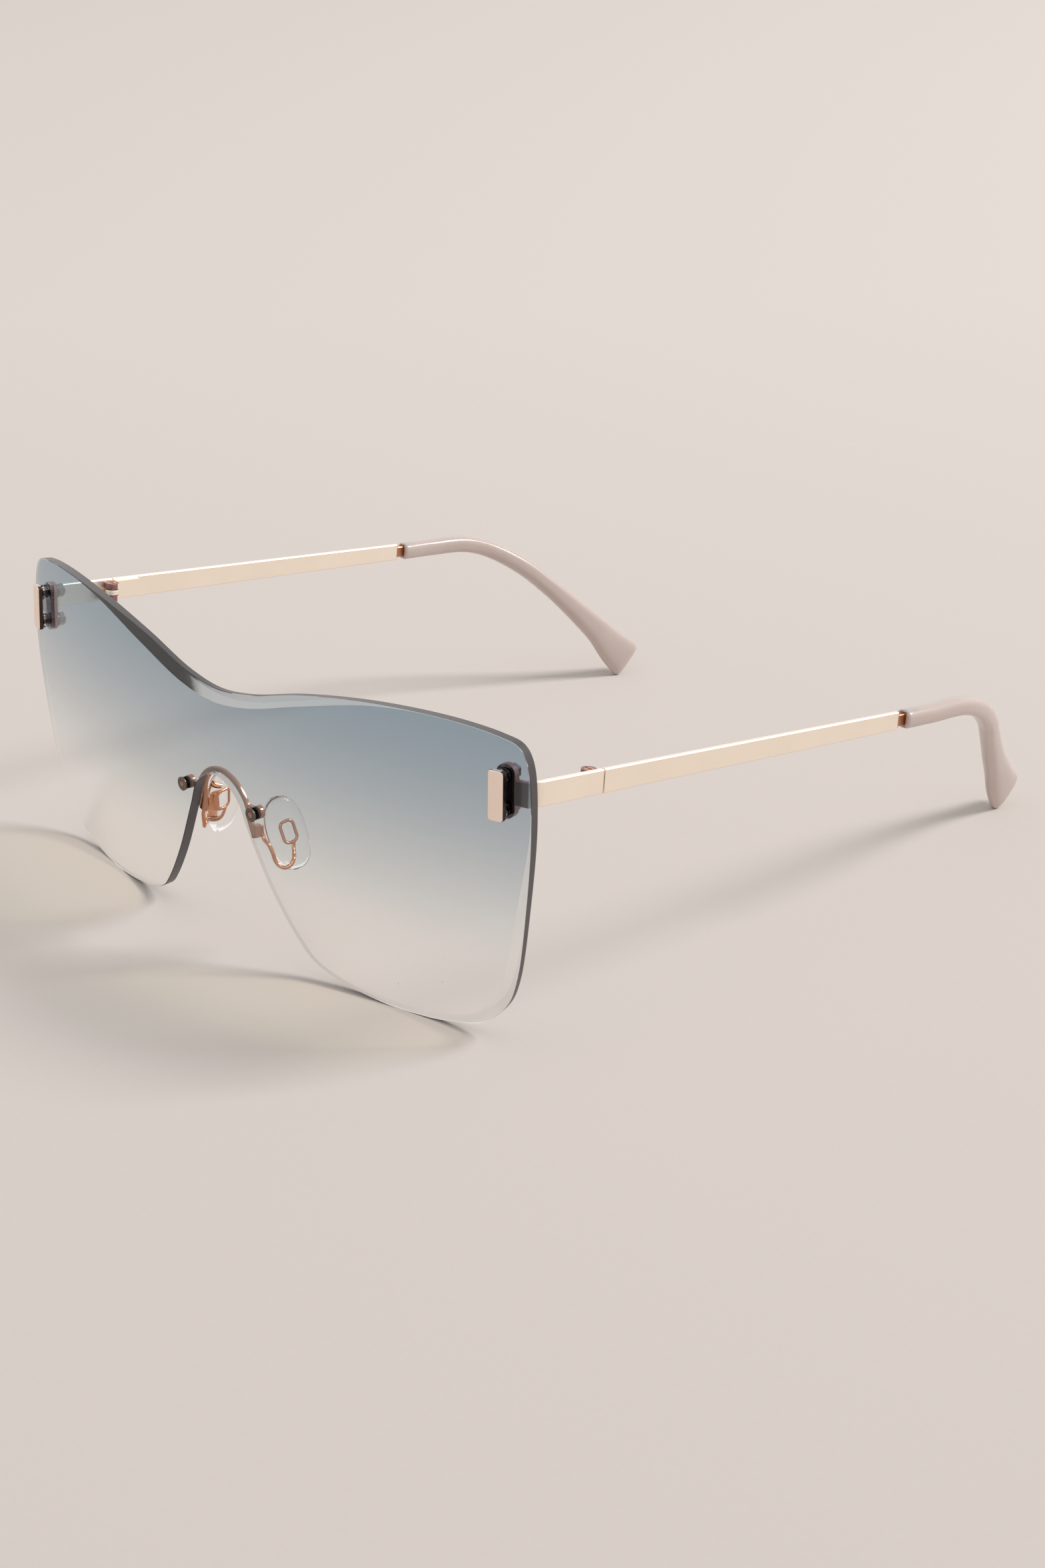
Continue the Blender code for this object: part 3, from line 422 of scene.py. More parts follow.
@dataclass(frozen=True)
class Glassy:
    """A clear or tinted plastic that light passes through.

    The stops are heights in metres with the colour that the whole thickness passes there. A lamp's
    ray takes the colour and the cast at each of the two faces, and soft light only a veil of it.
    """

    name: str
    stops: tuple[tuple[float, Colour], ...]
    index: float = 1.586
    rough: float = 0.0
    smear_rough: float = 0.02
    speck: Colour = (0.25, 0.25, 0.25)
    cast: Colour = (0.95, 0.95, 0.95)
    face_power: float = 0.5
    veil_power: float = 0.15

    def make(self, groups: SurfaceGroups) -> bpy.types.Material:
        """Build the material.

        Args:
            groups: The shared groups.

        Returns:
            The material.
        """
        material, graph = new_material(self.name)
        marks = graph.group(groups.handling)
        tint = graph.blend(marks.outputs["Specks"], self._tint(graph), rgba(self.speck))
        smooth_to_smeared = (self.rough, self.rough + self.smear_rough)
        rough = graph.remap(marks.outputs["Smears"], wanted=smooth_to_smeared)
        inputs = {"Base Color": tint, "Roughness": rough, "IOR": self.index}
        inputs["Transmission Weight"] = 1.0
        seen = graph.add("BsdfPrincipled", inputs)
        at_face = graph.add("Gamma", {"Color": tint, "Gamma": self.face_power}).outputs[0]
        lamp_light = graph.blend(1.0, at_face, rgba(self.cast), "MULTIPLY")
        soft_light = graph.add("Gamma", {"Color": tint, "Gamma": self.veil_power}).outputs[0]
        path = graph.add("LightPath")
        for ray, passed in (("Is Diffuse Ray", soft_light), ("Is Shadow Ray", lamp_light)):
            through = graph.add("BsdfTransparent", {"Color": passed})
            seen = graph.mixed(path.outputs[ray], seen, through)
        graph.finish(seen)
        return material

    def _tint(self, graph: Graph) -> bpy.types.NodeSocket:
        """The passed colour by height, smooth between the stops.

        Args:
            graph: The material's graph.

        Returns:
            The colour socket.
        """
        low = self.stops[0][0]
        high = self.stops[-1][0]
        height = graph.add("SeparateXYZ", {0: graph.place()}).outputs["Z"]
        ramp = graph.add("ValToRGB", {0: graph.remap(height, (low, high))})
        ramp.color_ramp.interpolation = "B_SPLINE"
        elements = ramp.color_ramp.elements
        while len(elements) < len(self.stops):
            elements.new(0.5)
        for element, (level, colour) in zip(elements, self.stops):
            element.position = (level - low) / (high - low)
            element.color = rgba(colour)
        return ramp.outputs[0]


@dataclass(frozen=True)
class GroundRim:
    """The lens's edge: satin from outside and painted dark there, standing in for the dark that the
    clear edge shows; clear where it is seen from inside the lens.
    """

    name: str
    colour: Colour
    rough: float = 0.32
    index: float = 1.586
    seen_through: Colour = (0.82, 0.81, 0.8)
    tones: Span = (0.85, 1.15)
    rough_swing: Span = (0.8, 1.3)
    grain_scale: float = 4000.0
    relief: float = 0.000006
    relief_strength: float = 0.4

    def make(self, groups: SurfaceGroups) -> bpy.types.Material:
        """Build the material.

        Args:
            groups: The shared groups.

        Returns:
            The material.
        """
        material, graph = new_material(self.name)
        grain = graph.group(groups.grain, Scale=self.grain_scale)
        colour = graph.toned(grain.outputs["Cloud"], self.colour, self.tones)
        rough = graph.swung(grain.outputs["Lines"], self.rough, self.rough_swing)
        normal = graph.relief(grain.outputs["Lines"], self.relief_strength, self.relief)
        inputs = {"Base Color": colour, "Roughness": rough, "IOR": self.index, "Normal": normal}
        outside = graph.add("BsdfPrincipled", inputs)
        inside = graph.add("BsdfTransparent", {"Color": rgba(self.seen_through)})
        inside = graph.mixed(graph.add("LightPath").outputs["Is Shadow Ray"], inside, outside)
        behind = graph.add("NewGeometry").outputs["Backfacing"]
        graph.finish(graph.mixed(behind, outside, inside))
        return material


LENS_STOPS = (
    (0.002, (1.0, 1.0, 1.0)),
    (0.010, (1.0, 1.0, 1.0)),
    (0.017, (0.985, 1.0, 1.0)),
    (0.024, (0.82, 0.875, 0.895)),
    (0.032, (0.635, 0.705, 0.75)),
    (0.040, (0.49, 0.58, 0.65)),
    (0.048, (0.385, 0.493, 0.577)),
    (0.055, (0.325, 0.445, 0.54)),
)
PLAIN_STOPS = ((0.0, (0.96, 0.965, 0.965)), (0.056, (0.97, 0.975, 0.98)))
FACET_STOPS = ((0.0, (0.98, 0.98, 0.98)), (0.056, (0.98, 0.985, 0.985)))


class Wardrobe:
    """Every material of the glasses, made once."""

    def __init__(self) -> None:
        """Build the groups and the materials."""
        groups = SurfaceGroups()
        self.gold = Metal("pale_gold_plating", (1.0, 0.88, 0.755), 0.34, metallic=0.8).make(groups)
        self.plate = Metal("plate_pink_gold", (1.0, 0.83, 0.72), 0.3, metallic=0.8).make(groups)
        # The bars' necks before the tips are given a dark copper tone
        self.neck = Metal("neck_dark_copper_tone", (0.5, 0.23, 0.13), 0.3).make(groups)
        # Painted shade: a dark copy of the gold for the end pieces' faces that lie in the lens's shade
        self.seat = Metal("painted_shade_behind_lens", (0.34, 0.18, 0.18), 0.3).make(groups)
        # Painted shade: a near-black copy for the plates' sides, backs and studs, in the shade between
        # plate and lens
        self.shaded = Metal("painted_shade_plate_sides", (0.09, 0.052, 0.045), 0.25).make(groups)
        self.rose = Metal("rose_gold_plating", (0.57, 0.26, 0.145), 0.16, (1.0, 1.0, 0.1)).make(groups)
        # The bridge is given a darker, browner tone than the pad wires' rose gold
        self.bridge_tone = Metal("bridge_dark_rose_tone", (0.44, 0.23, 0.155), 0.16).make(groups)
        self.steel = Metal("turned_gunmetal", (0.26, 0.255, 0.245), 0.2, (1.0, 1.0, 1.0)).make(groups)
        taupe = (0.54, 0.458, 0.428)
        self.taupe = Moulded("moulded_taupe", taupe, coat=0.5, depth_share=0.85).make(groups)
        warm = (0.915, 0.885, 0.81)
        self.lens = Glassy("lens_gradient_tint", LENS_STOPS, smear_rough=0.012, cast=warm).make(groups)
        dim = (0.58, 0.555, 0.51)
        self.facet = Glassy("lens_ground_facet", FACET_STOPS, rough=0.06, cast=dim).make(groups)
        # Painted shade: the clear lens's edge is coloured near-black from outside
        self.rim = GroundRim("lens_rim_painted_shade", (0.042, 0.037, 0.041)).make(groups)
        self.clear = Glassy("clear_plastic", PLAIN_STOPS, index=1.38, rough=0.03).make(groups)
        self.smoked = Moulded("smoked_plastic", (0.08, 0.05, 0.038)).make(groups)


class Bench:
    """Selecting, adding and finishing meshes with Blender's own operators."""

    flat_angle: float = math.radians(1.0)
    smooth_angle: float = math.radians(35)
    bevel_angle: float = math.radians(40)
    bevel_faces: int = 2
    wire_angle: float = math.radians(50)
    wire_rings: int = 5

    @staticmethod
    def clear() -> None:
        """Select nothing, because an operator acts on all that is selected."""
        bpy.ops.object.select_all(action="DESELECT")

    @classmethod
    def only(cls, piece: bpy.types.Object) -> None:
        """Select one object alone and make it active.

        Args:
            piece: The object.
        """
        cls.clear()
        piece.select_set(True)
        bpy.context.view_layer.objects.active = piece

    @staticmethod
    def named(name: str) -> bpy.types.Object:
        """Name the object that an operator has just added, and its mesh.

        Args:
            name: The name.

        Returns:
            The object.
        """
        piece = bpy.context.active_object
        piece.name = name
        piece.data.name = name
        return piece

    @classmethod
    @contextmanager
    def editing(cls, piece: bpy.types.Object) -> Iterator[None]:
        """Hold an object in edit mode, with all of it selected at the start.

        Args:
            piece: The object.

        Yields:
            Nothing, while edit mode lasts.
        """
        cls.only(piece)
        bpy.ops.object.mode_set(mode="EDIT")
        bpy.ops.mesh.select_all(action="SELECT")
        yield
        bpy.ops.object.mode_set(mode="OBJECT")

    @classmethod
    def turned_out(cls, piece: bpy.types.Object) -> None:
        """Turn all the faces of a closed object outwards."""
        with cls.editing(piece):
            bpy.ops.mesh.normals_make_consistent(inside=False)

    @classmethod
    def modified(cls, piece: bpy.types.Object, kind: str, **settings: object) -> None:
        """Add a modifier and apply it.

        Args:
            piece: The object.
            kind: The modifier's type.
            settings: Its properties.
        """
        cls.only(piece)
        modifier = piece.modifiers.new(kind.lower(), kind)
        for name, value in settings.items():
            setattr(modifier, name, value)
        bpy.ops.object.modifier_apply(modifier=modifier.name)

    @classmethod
    def smoothed(cls, piece: bpy.types.Object, angle: float = smooth_angle) -> None:
        """Shade an object smooth, with sharp edges past an angle."""
        cls.only(piece)
        bpy.ops.object.shade_smooth_by_angle(angle=angle)

    @classmethod
    def bevelled(cls, piece: bpy.types.Object, width: float, material: int = -1) -> None:
        """Round an object's sharp edges.

        Args:
            piece: The object.
            width: How wide the rounding is.
            material: The number of its finish, or -1 for that of the faces beside it.
        """
        cls.modified(
            piece,
            "BEVEL",
            width=width,
            segments=cls.bevel_faces,
            limit_method="ANGLE",
            angle_limit=cls.bevel_angle,
            use_clamp_overlap=True,
            material=material,
        )

    @classmethod
    def skin(cls, name: str, rings: list[Points]) -> bpy.types.Object:
        """Roll a flat grid into a closed skin over rings of points.

        Args:
            name: The new object's name.
            rings: Rings of equally many points, from one end to the other.

        Returns:
            The closed object, its faces pointing outwards.
        """
        cls.clear()
        columns = len(rings[0])
        bpy.ops.mesh.primitive_grid_add(x_subdivisions=columns, y_subdivisions=len(rings) - 1)
        piece = cls.named(name)
        spots = [point for ring in rings for point in (*ring, ring[0])]
        piece.data.vertices.foreach_set("co", np.array(spots, dtype=np.float32).ravel())
        with cls.editing(piece):
            bpy.ops.mesh.remove_doubles(threshold=MERGE_DISTANCE)
            bpy.ops.mesh.fill_holes(sides=0)
        cls.turned_out(piece)
        return piece

    @classmethod
    def refined(cls, node: str, name: str, bevel: float) -> bpy.types.Object:
        """Make a crisp, bevelled piece from a merged copy of a CAD node's mesh.

        Args:
            node: The CAD node.
            name: The new object's name.
            bevel: How wide its sharp edges are rounded.

        Returns:
            The new object.
        """
        mesh = bpy.data.objects[node].data.copy()
        mesh.name = name
        mesh.materials.clear()
        piece = bpy.data.objects.new(name, mesh)
        bpy.context.scene.collection.objects.link(piece)
        cls.only(piece)
        bpy.ops.mesh.customdata_custom_splitnormals_clear()
        with cls.editing(piece):
            bpy.ops.mesh.remove_doubles(threshold=MERGE_DISTANCE)
            bpy.ops.mesh.dissolve_limited(angle_limit=cls.flat_angle)
        cls.bevelled(piece, bevel)
        cls.smoothed(piece)
        cls.modified(piece, "WEIGHTED_NORMAL", weight=100, keep_sharp=True)
        return piece

    @classmethod
    def wire(cls, name: str, points: Points, radius: float, closed: bool) -> bpy.types.Object:
        """Make a round wire along points, drawn as a curve and made a mesh.

        Args:
            name: The new object's name.
            points: The points of its centre line.
            radius: The wire's radius.
            closed: Whether its ends meet.

        Returns:
            The new object.
        """
        cls.clear()
        bpy.ops.curve.primitive_nurbs_path_add()
        drawn = cls.named(name)
        curve = drawn.data
        curve.splines.clear()
        spline = curve.splines.new("POLY")
        spline.points.add(len(points) - 1)
        for knot, point in zip(spline.points, points):
            knot.co = (*point, 1.0)
        spline.use_cyclic_u = closed
        curve.dimensions = "3D"
        curve.bevel_depth = radius
        curve.bevel_resolution = cls.wire_rings
        curve.use_fill_caps = True
        cls.only(drawn)
        bpy.ops.object.convert(target="MESH")
        piece = bpy.context.active_object
        cls.smoothed(piece, cls.wire_angle)
        return piece

    @classmethod
    def joined(cls, first: bpy.types.Object, second: bpy.types.Object) -> bpy.types.Object:
        """Join two objects.

        Args:
            first: The object that both become.
            second: The object that goes into it.

        Returns:
            The first object.
        """
        cls.only(first)
        second.select_set(True)
        bpy.ops.object.join()
        return first

    @classmethod
    def cut(cls, piece: bpy.types.Object, tool: bpy.types.Object) -> None:
        """Take one object out of another.

        Args:
            piece: The object that is cut.
            tool: The object that is taken out of it, and deleted.
        """
        cls.modified(piece, "BOOLEAN", operation="DIFFERENCE", solver="EXACT", object=tool)
        bpy.data.objects.remove(tool, do_unlink=True)

    @classmethod
    def mirrored(cls, piece: bpy.types.Object, name: str) -> bpy.types.Object:
        """Copy a finished left piece to the other side.

        Args:
            piece: The left piece.
            name: The copy's name.

        Returns:
            The copy, with its own mesh.
        """
        cls.only(piece)
        bpy.ops.object.duplicate()
        twin = cls.named(name)
        twin.data.transform(Side.RIGHT.flip)
        with cls.editing(twin):
            bpy.ops.mesh.flip_normals()
        return twin


def dress(
    piece: bpy.types.Object, materials: list[bpy.types.Material], slot: Slot, body: str, node: str
) -> bpy.types.Object:
    """Give a finished piece its materials and its body, and hide the CAD node that it stands for.

    Args:
        piece: The finished object, its place in its mesh.
        materials: Its materials, in the order of its faces' numbers.
        slot: The record's slot, which is not used.
        body: The CAD body that it rides on.
        node: The CAD node that it replaces.

    Returns:
        The dressed piece.
    """
    for material in materials:
        piece.data.materials.append(material)
    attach(piece, body)
    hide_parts(node)
    return piece


def smooth_curve(points: list, steps: int, closed: bool = False) -> np.ndarray:
    """Points of a smooth curve through the given ones, wherever their spacing.

    Args:
        points: The given points.
        steps: How many points each stretch between two of them has.
        closed: Whether the last is joined to the first.

    Returns:
        One row for each point.
    """
    given = np.array(points, dtype=float)
    if closed:
        padded = np.vstack([given[-1], given, given[0], given[1]])
    else:
        padded = np.vstack([2 * given[0] - given[1], given, 2 * given[-1] - given[-2]])
    curve = []
    for first, start, stop, last in zip(padded, padded[1:], padded[2:], padded[3:]):
        knots = [0.0]
        for near, far in ((first, start), (start, stop), (stop, last)):
            knots.append(knots[-1] + math.sqrt(np.linalg.norm(far - near)))
        for step in range(steps):
            at = knots[1] + (knots[2] - knots[1]) * step / steps
            level = [first, start, stop, last]
            for lows, reach in ((knots, 1), (knots, 2), (knots[1:], 1)):
                level = [
                    near + (far - near) * (at - lows[i]) / (lows[i + reach] - lows[i])
                    for i, (near, far) in enumerate(zip(level, level[1:]))
                ]
            curve.append(level[0])
    if not closed:
        curve.append(given[-1])
    return np.array(curve)


def frame_at(place: Vector, along: Vector, up: Vector) -> Matrix:
    """Make a frame at a place.

    Args:
        place: Its origin.
        along: The direction of its local Y.
        up: The direction that its local Z is as near to as can be.

    Returns:
        The frame.
    """
    along = along.normalized()
    side = along.cross(up).normalized()
    frame = Matrix((side, along, side.cross(along))).transposed().to_4x4()
    frame.translation = place
    return frame


def oval(width: float, height: float, sides: int, exponent: float) -> Points:
    """Draw a section between an ellipse and a rectangle, in local X and Z.

    Args:
        width: Its size along X.
        height: Its size along Z.
        sides: How many points it has.
        exponent: 2 for an ellipse, more towards a rectangle.

    Returns:
        Its points, in order.
    """
    points = []
    for step in range(sides):
        angle = math.tau * (step + 0.5) / sides
        c = math.cos(angle)
        s = math.sin(angle)
        reach = (abs(c) ** exponent + abs(s) ** exponent) ** (-1 / exponent)
        points.append(Vector((width / 2 * reach * c, 0.0, height / 2 * reach * s)))
    return points


@dataclass
class Lens:
    """The domed shield with its ground facet, dark rim and fastening holes."""

    wardrobe: Wardrobe
    width: float = 0.145
    height: float = 0.0564
    radius: float = 0.260
    thickness: float = 0.002
    dome_height_share: float = 0.569
    facet_width: float = 0.0022
    facet_depth: float = 0.0008
    edge_break: float = 0.00012
    polish: float = 0.0001
    grid: float = 0.0045
    steps: int = 10
    stud_hole: float = 0.00125
    peg_hole: float = 0.0011
    hole_sides: int = 40
    drill_length: float = 0.008
    smooth_angle: float = math.radians(12)
    # How far a face may look out of the dome and be rim, and how far it must to be the dome itself
    rim_facing: float = 0.3
    dome_facing: float = 0.99
    # Half outline, top middle to notch middle: share of half width, of height, of facet width
    outline_shares: tuple[tuple[float, float, float], ...] = (
        (0.0, 0.863, 1.0),
        (0.125, 0.8818, 1.0),
        (0.317, 0.9424, 0.85),
        (0.552, 0.9881, 0.22),
        (0.772, 1.0, 0.0),
        (0.91, 0.9851, 0.0),
        (0.96, 0.9663, 0.0),
        (0.986, 0.9156, 0.0),
        (0.998, 0.7389, 0.05),
        (0.98, 0.4857, 0.6),
        (0.9365, 0.2106, 0.95),
        (0.9, 0.1185, 1.0),
        (0.826, 0.0408, 1.0),
        (0.712, 0.0075, 0.75),
        (0.63, 0.0, 0.5),
        (0.548, 0.001, 0.25),
        (0.377, 0.031, 0.0),
        (0.312, 0.062, 0.0),
        (0.272, 0.1099, 0.0),
        (0.193, 0.2494, 0.0),
        (0.1145, 0.441, 0.0),
        (0.087, 0.5165, 0.0),
        (0.0455, 0.5616, 0.0),
        (0.0, 0.579, 0.0),
    )

    def __post_init__(self) -> None:
        """Take the lens's place from the frame."""
        low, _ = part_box("lens")
        self.centre = Vector((0.0, low.y + self.radius, self.dome_height_share * self.height))

    def build(self) -> Iterator[bpy.types.Object]:
        """Model the lens from a flat sheet, ground, gridded, domed and thickened.

        Yields:
            The lens.
        """
        rows = self._outline()
        Bench.clear()
        bpy.ops.mesh.primitive_circle_add(vertices=len(rows), radius=self.width, fill_type="NGON")
        piece = Bench.named("lens_shield")
        for vert, (x, z, _) in zip(piece.data.vertices, rows):
            vert.co = (x, 0.0, z)
        with Bench.editing(piece):
            bpy.ops.mesh.inset(thickness=self.edge_break, depth=0.0)
        self._grind(piece, rows)
        self._grid_sheet(piece)
        self._thicken(piece, rows)
        Bench.bevelled(piece, self.polish, LensFinish.RIM)
        self._drill(piece)
        self._shade(piece)
        materials = [self.wardrobe.lens, self.wardrobe.facet, self.wardrobe.rim]
        yield dress(piece, materials, Slot.LENS, "front", "lens")

    def _spot(self, x: float, z: float, depth: float) -> Vector:
        """Find a point of the dome.

        Args:
            x: Its place across the lens.
            z: Its height.
            depth: How far it lies behind the front.

        Returns:
            The point.
        """
        rise = z - self.centre.z
        reach = math.sqrt(self.radius**2 - x**2 - rise**2)
        front = Vector((x, self.centre.y - reach, z))
        return front + (self.centre - front).normalized() * depth

    def _facing(self, face: bpy.types.MeshPolygon) -> float:
        """How far a face looks out of the dome: 1 on its front, -1 on its back."""
        return face.normal.dot((face.center - self.centre).normalized())

    def _outline(self) -> np.ndarray:
        """Draw the whole outline.

        Returns:
            Rows of x, z and the facet's width at each point.
        """
        scale = np.array((self.width / 2, self.height, self.facet_width))
        half = [np.array(row) * scale for row in self.outline_shares]
        flip = np.array((-1, 1, 1))
        whole = half + [row * flip for row in reversed(half[1:-1])]
        return smooth_curve(whole, self.steps, closed=True)

    def _grind(self, piece: bpy.types.Object, rows: np.ndarray) -> None:
        """Slide the inset ring to the facet's inner line.

        Args:
            piece: The flat sheet, an outer ring of vertices and an inner one.
            rows: The outline with its facet widths.
        """
        count = len(rows)
        verts = piece.data.vertices
        linked = {index: set() for index in range(len(verts))}
        for edge in piece.data.edges:
            first, second = edge.vertices
            linked[first].add(second)
            linked[second].add(first)
        for index, (x, z, facet) in enumerate(rows):
            run = rows[(index + 1) % count][:2] - rows[index - 1][:2]
            run = run / np.linalg.norm(run)
            wide = max(facet, self.edge_break)
            inner = next(i for i in linked[index] if i >= count)
            verts[inner].co = (x + run[1] * wide, 0.0, z - run[0] * wide)
        for face in piece.data.polygons:
            ground = len(face.vertices) == 4
            face.material_index = LensFinish.FACET if ground else LensFinish.TINT

    def _grid_sheet(self, piece: bpy.types.Object) -> None:
        """Cut the sheet inside the facet into a grid that can follow the dome.

        Args:
            piece: The flat sheet with its facet.
        """
        with Bench.editing(piece):
            for axis, low, high in ((0, -self.width / 2, self.width / 2), (2, 0.0, self.height)):
                lines = round((high - low) / self.grid)
                normal = [0.0, 0.0, 0.0]
                normal[axis] = 1.0
                for line in range(1, lines):
                    place = [0.0, 0.0, 0.0]
                    place[axis] = low + (high - low) * line / lines
                    bpy.ops.mesh.select_all(action="DESELECT")
                    for face in bmesh.from_edit_mesh(piece.data).faces:
                        if face.material_index == LensFinish.TINT:
                            face.select_set(True)
                    bmesh.update_edit_mesh(piece.data)
                    bpy.ops.mesh.bisect(plane_co=place, plane_no=normal, threshold=CUT_THRESHOLD)

    def _thicken(self, piece: bpy.types.Object, rows: np.ndarray) -> None:
        """Give the sheet its back and its rim, and bend all of it to the dome.

        Args:
            piece: The flat sheet in its grid.
            rows: The outline with its facet widths, where the front is ground back.
        """
        slope = self.facet_depth / self.facet_width
        with Bench.editing(piece):
            back = {"value": (0.0, self.thickness, 0.0)}
            bpy.ops.mesh.extrude_region_move(TRANSFORM_OT_translate=back)
        for vert in piece.data.vertices:
            x, y, z = vert.co
            depth = self.thickness if y > self.thickness / 2 else 0.0
            if not depth:
                gaps = np.hypot(rows[:, 0] - x, rows[:, 1] - z)
                nearest = gaps.argmin()
                if gaps[nearest] < MERGE_DISTANCE:
                    depth = slope * max(rows[nearest][2], self.edge_break)
            vert.co = self._spot(x, z, depth)
        Bench.turned_out(piece)
        for face in piece.data.polygons:
            facing = self._facing(face)
            if abs(facing) < self.rim_facing:
                face.material_index = LensFinish.RIM
            elif facing < 0:
                face.material_index = LensFinish.TINT

    def _drill(self, piece: bpy.types.Object) -> None:
        """Drill the holes that the bushings sit in.

        Args:
            piece: The domed lens.
        """
        drills = []
        for side in Side:
            for level in ("upper", "lower"):
                drills.append((f"bushing_{level}_{side.word}", self.stud_hole))
            drills.append((f"nose_bushing_{side.word}", self.peg_hole))
        for node, radius in drills:
            low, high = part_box(node)
            middle = (low + high) / 2
            inward = (self.centre - middle).normalized()
            Bench.clear()
            bpy.ops.mesh.primitive_cylinder_add(
                vertices=self.hole_sides,
                radius=radius,
                depth=self.drill_length,
                location=middle,
                rotation=inward.to_track_quat("Z", "Y").to_euler(),
            )
            Bench.cut(piece, bpy.context.active_object)

    def _shade(self, piece: bpy.types.Object) -> None:
        """Shade the two domed faces with the sphere's own normals.

        Args:
            piece: The drilled lens.
        """
        Bench.smoothed(piece, self.smooth_angle)
        mesh = piece.data
        normals = [Vector(corner.vector) for corner in mesh.corner_normals]
        for face in mesh.polygons:
            facing = self._facing(face)
            if abs(facing) < self.rim_facing:
                face.material_index = LensFinish.RIM
            if face.material_index == LensFinish.TINT and abs(facing) > self.dome_facing:
                for corner in face.loop_indices:
                    spot = mesh.vertices[mesh.loops[corner].vertex_index].co
                    outward = (spot - self.centre).normalized()
                    normals[corner] = outward if facing > 0 else -outward
        mesh.normals_split_custom_set(normals)


@dataclass
class NosePads:
    """The two clear pads and the bent wires that carry them."""

    wardrobe: Wardrobe
    length: float = 0.0137
    width: float = 0.0074
    wire_side: float = 0.0014
    nose_side: float = 0.0016
    roundness: float = 0.4
    flat_share: float = 0.02
    exponent: float = 2.5
    lean: Vector = Vector((-0.268, -0.121, 0.956))
    facing: Vector = Vector((0.958, -0.2, 0.2))
    rings: int = 14
    sides: int = 64
    smooth_angle: float = math.radians(60)
    wire_radius: float = 0.00037
    wire_steps: int = 8
    loop_radius: float = 0.0003
    loop_size: tuple[float, float] = (0.0025, 0.0039)
    loop_corner: float = 0.0009
    loop_seat: float = 0.0008
    loop_up: float = 0.0003
    loop_turns: int = 8
    foot_depth: float = 0.0011
    foot_gap: float = 0.0002
    wire_lift: float = 0.0006
    wire_reach: tuple[float, float, float] = (0.00425, 0.0016, -0.0072)
    pad_from_foot: Vector = Vector((0.00164, 0.00524, -0.00146))
    # Wire from the foot past its lowest point: shares of reach, depth and drop there
    wire_shares: tuple[tuple[float, float, float], ...] = (
        (0.0, 0.0, 0.0),
        (0.0, 0.0, 0.194),
        (0.153, 0.0, 0.34),
        (0.424, 0.03, 0.435),
        (0.576, 0.18, 0.617),
        (0.649, 0.37, 0.8375),
        (0.793, 0.62, 0.961),
        (1.0, 1.0, 1.0),
        (1.104, 1.49, 0.942),
        (1.073, 1.99, 0.825),
        (0.878, 2.43, 0.757),
        (0.706, 2.68, 0.593),
    )

    def build(self) -> Iterator[bpy.types.Object]:
        """Model the left pad and its wire, and copy both to the right.

        Yields:
            Each pad and each wire.
        """
        frame = self._frame()
        pairs = (
            (self._pad(frame), self.wardrobe.clear, Slot.CLEAR, "nose_pad"),
            (self._wire(frame), self.wardrobe.rose, Slot.ROSE_GOLD, "pad_arm"),
        )
        for piece, material, slot, node in pairs:
            twin = Bench.mirrored(piece, piece.name.replace("left", "right"))
            yield dress(piece, [material], slot, "front", f"{node}_left")
            yield dress(twin, [material], slot, "front", f"{node}_right")

    def _frame(self) -> Matrix:
        """Set up the left pad's frame.

        Returns:
            The frame, with local Z along the pad and local X towards its wire.
        """
        low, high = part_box("nose_pad_left")
        lean = self.lean.normalized()
        return frame_at((low + high) / 2, lean.cross(self.facing), lean)

    def _pad(self, frame: Matrix) -> bpy.types.Object:
        """Model a soft oval cushion of clear plastic.

        Args:
            frame: The pad's frame.

        Returns:
            The left pad.
        """
        skin = []
        for step in range(-self.rings, self.rings + 1):
            angle = math.pi / 2 * (1 - self.flat_share) * step / self.rings
            depth = math.sin(angle) * (self.wire_side if step > 0 else self.nose_side)
            share = math.cos(angle) ** self.roundness
            ring = oval(self.width * share, self.length * share, self.sides, self.exponent)
            skin.append([frame @ Vector((depth, point.x, point.z)) for point in ring])
        piece = Bench.skin("nose_pad_left_clear", skin)
        Bench.smoothed(piece, self.smooth_angle)
        return piece

    def _loop(self, frame: Matrix) -> Points:
        """Draw the wire loop inside the pad, a rectangle with round corners.

        Args:
            frame: The pad's frame.

        Returns:
            The points of its centre line.
        """
        x = self.loop_size[0] / 2 - self.loop_corner
        z = self.loop_size[1] / 2 - self.loop_corner
        points = []
        for corner, (across, up) in enumerate(((x, z), (-x, z), (-x, -z), (x, -z))):
            for step in range(self.loop_turns + 1):
                angle = math.pi / 2 * (corner + step / self.loop_turns)
                side = across + self.loop_corner * math.cos(angle)
                height = up + self.loop_corner * math.sin(angle) + self.loop_up
                points.append(frame @ Vector((self.loop_seat, side, height)))
        return points

    def _wire(self, frame: Matrix) -> bpy.types.Object:
        """Model the round wire from the foot down, round and up to its loop.

        Args:
            frame: The pad's frame.

        Returns:
            The left wire with its loop.
        """
        foot = frame.translation - self.pad_from_foot
        behind = self.foot_depth / 2 + self.foot_gap + self.wire_radius
        start = foot + Vector((0.0, behind, self.wire_lift))
        reach = Vector(self.wire_reach)
        rows = [start + Vector(shares) * reach for shares in self.wire_shares]
        loop = self._loop(frame)
        last_corner = -(self.loop_turns + 1)
        rows.append(loop[last_corner])
        path = [Vector(point) for point in smooth_curve(rows, self.wire_steps)]
        arm = Bench.wire("pad_wire_left", path, self.wire_radius, False)
        ring = Bench.wire("pad_loop_left", loop, self.loop_radius, True)
        return Bench.joined(arm, ring)


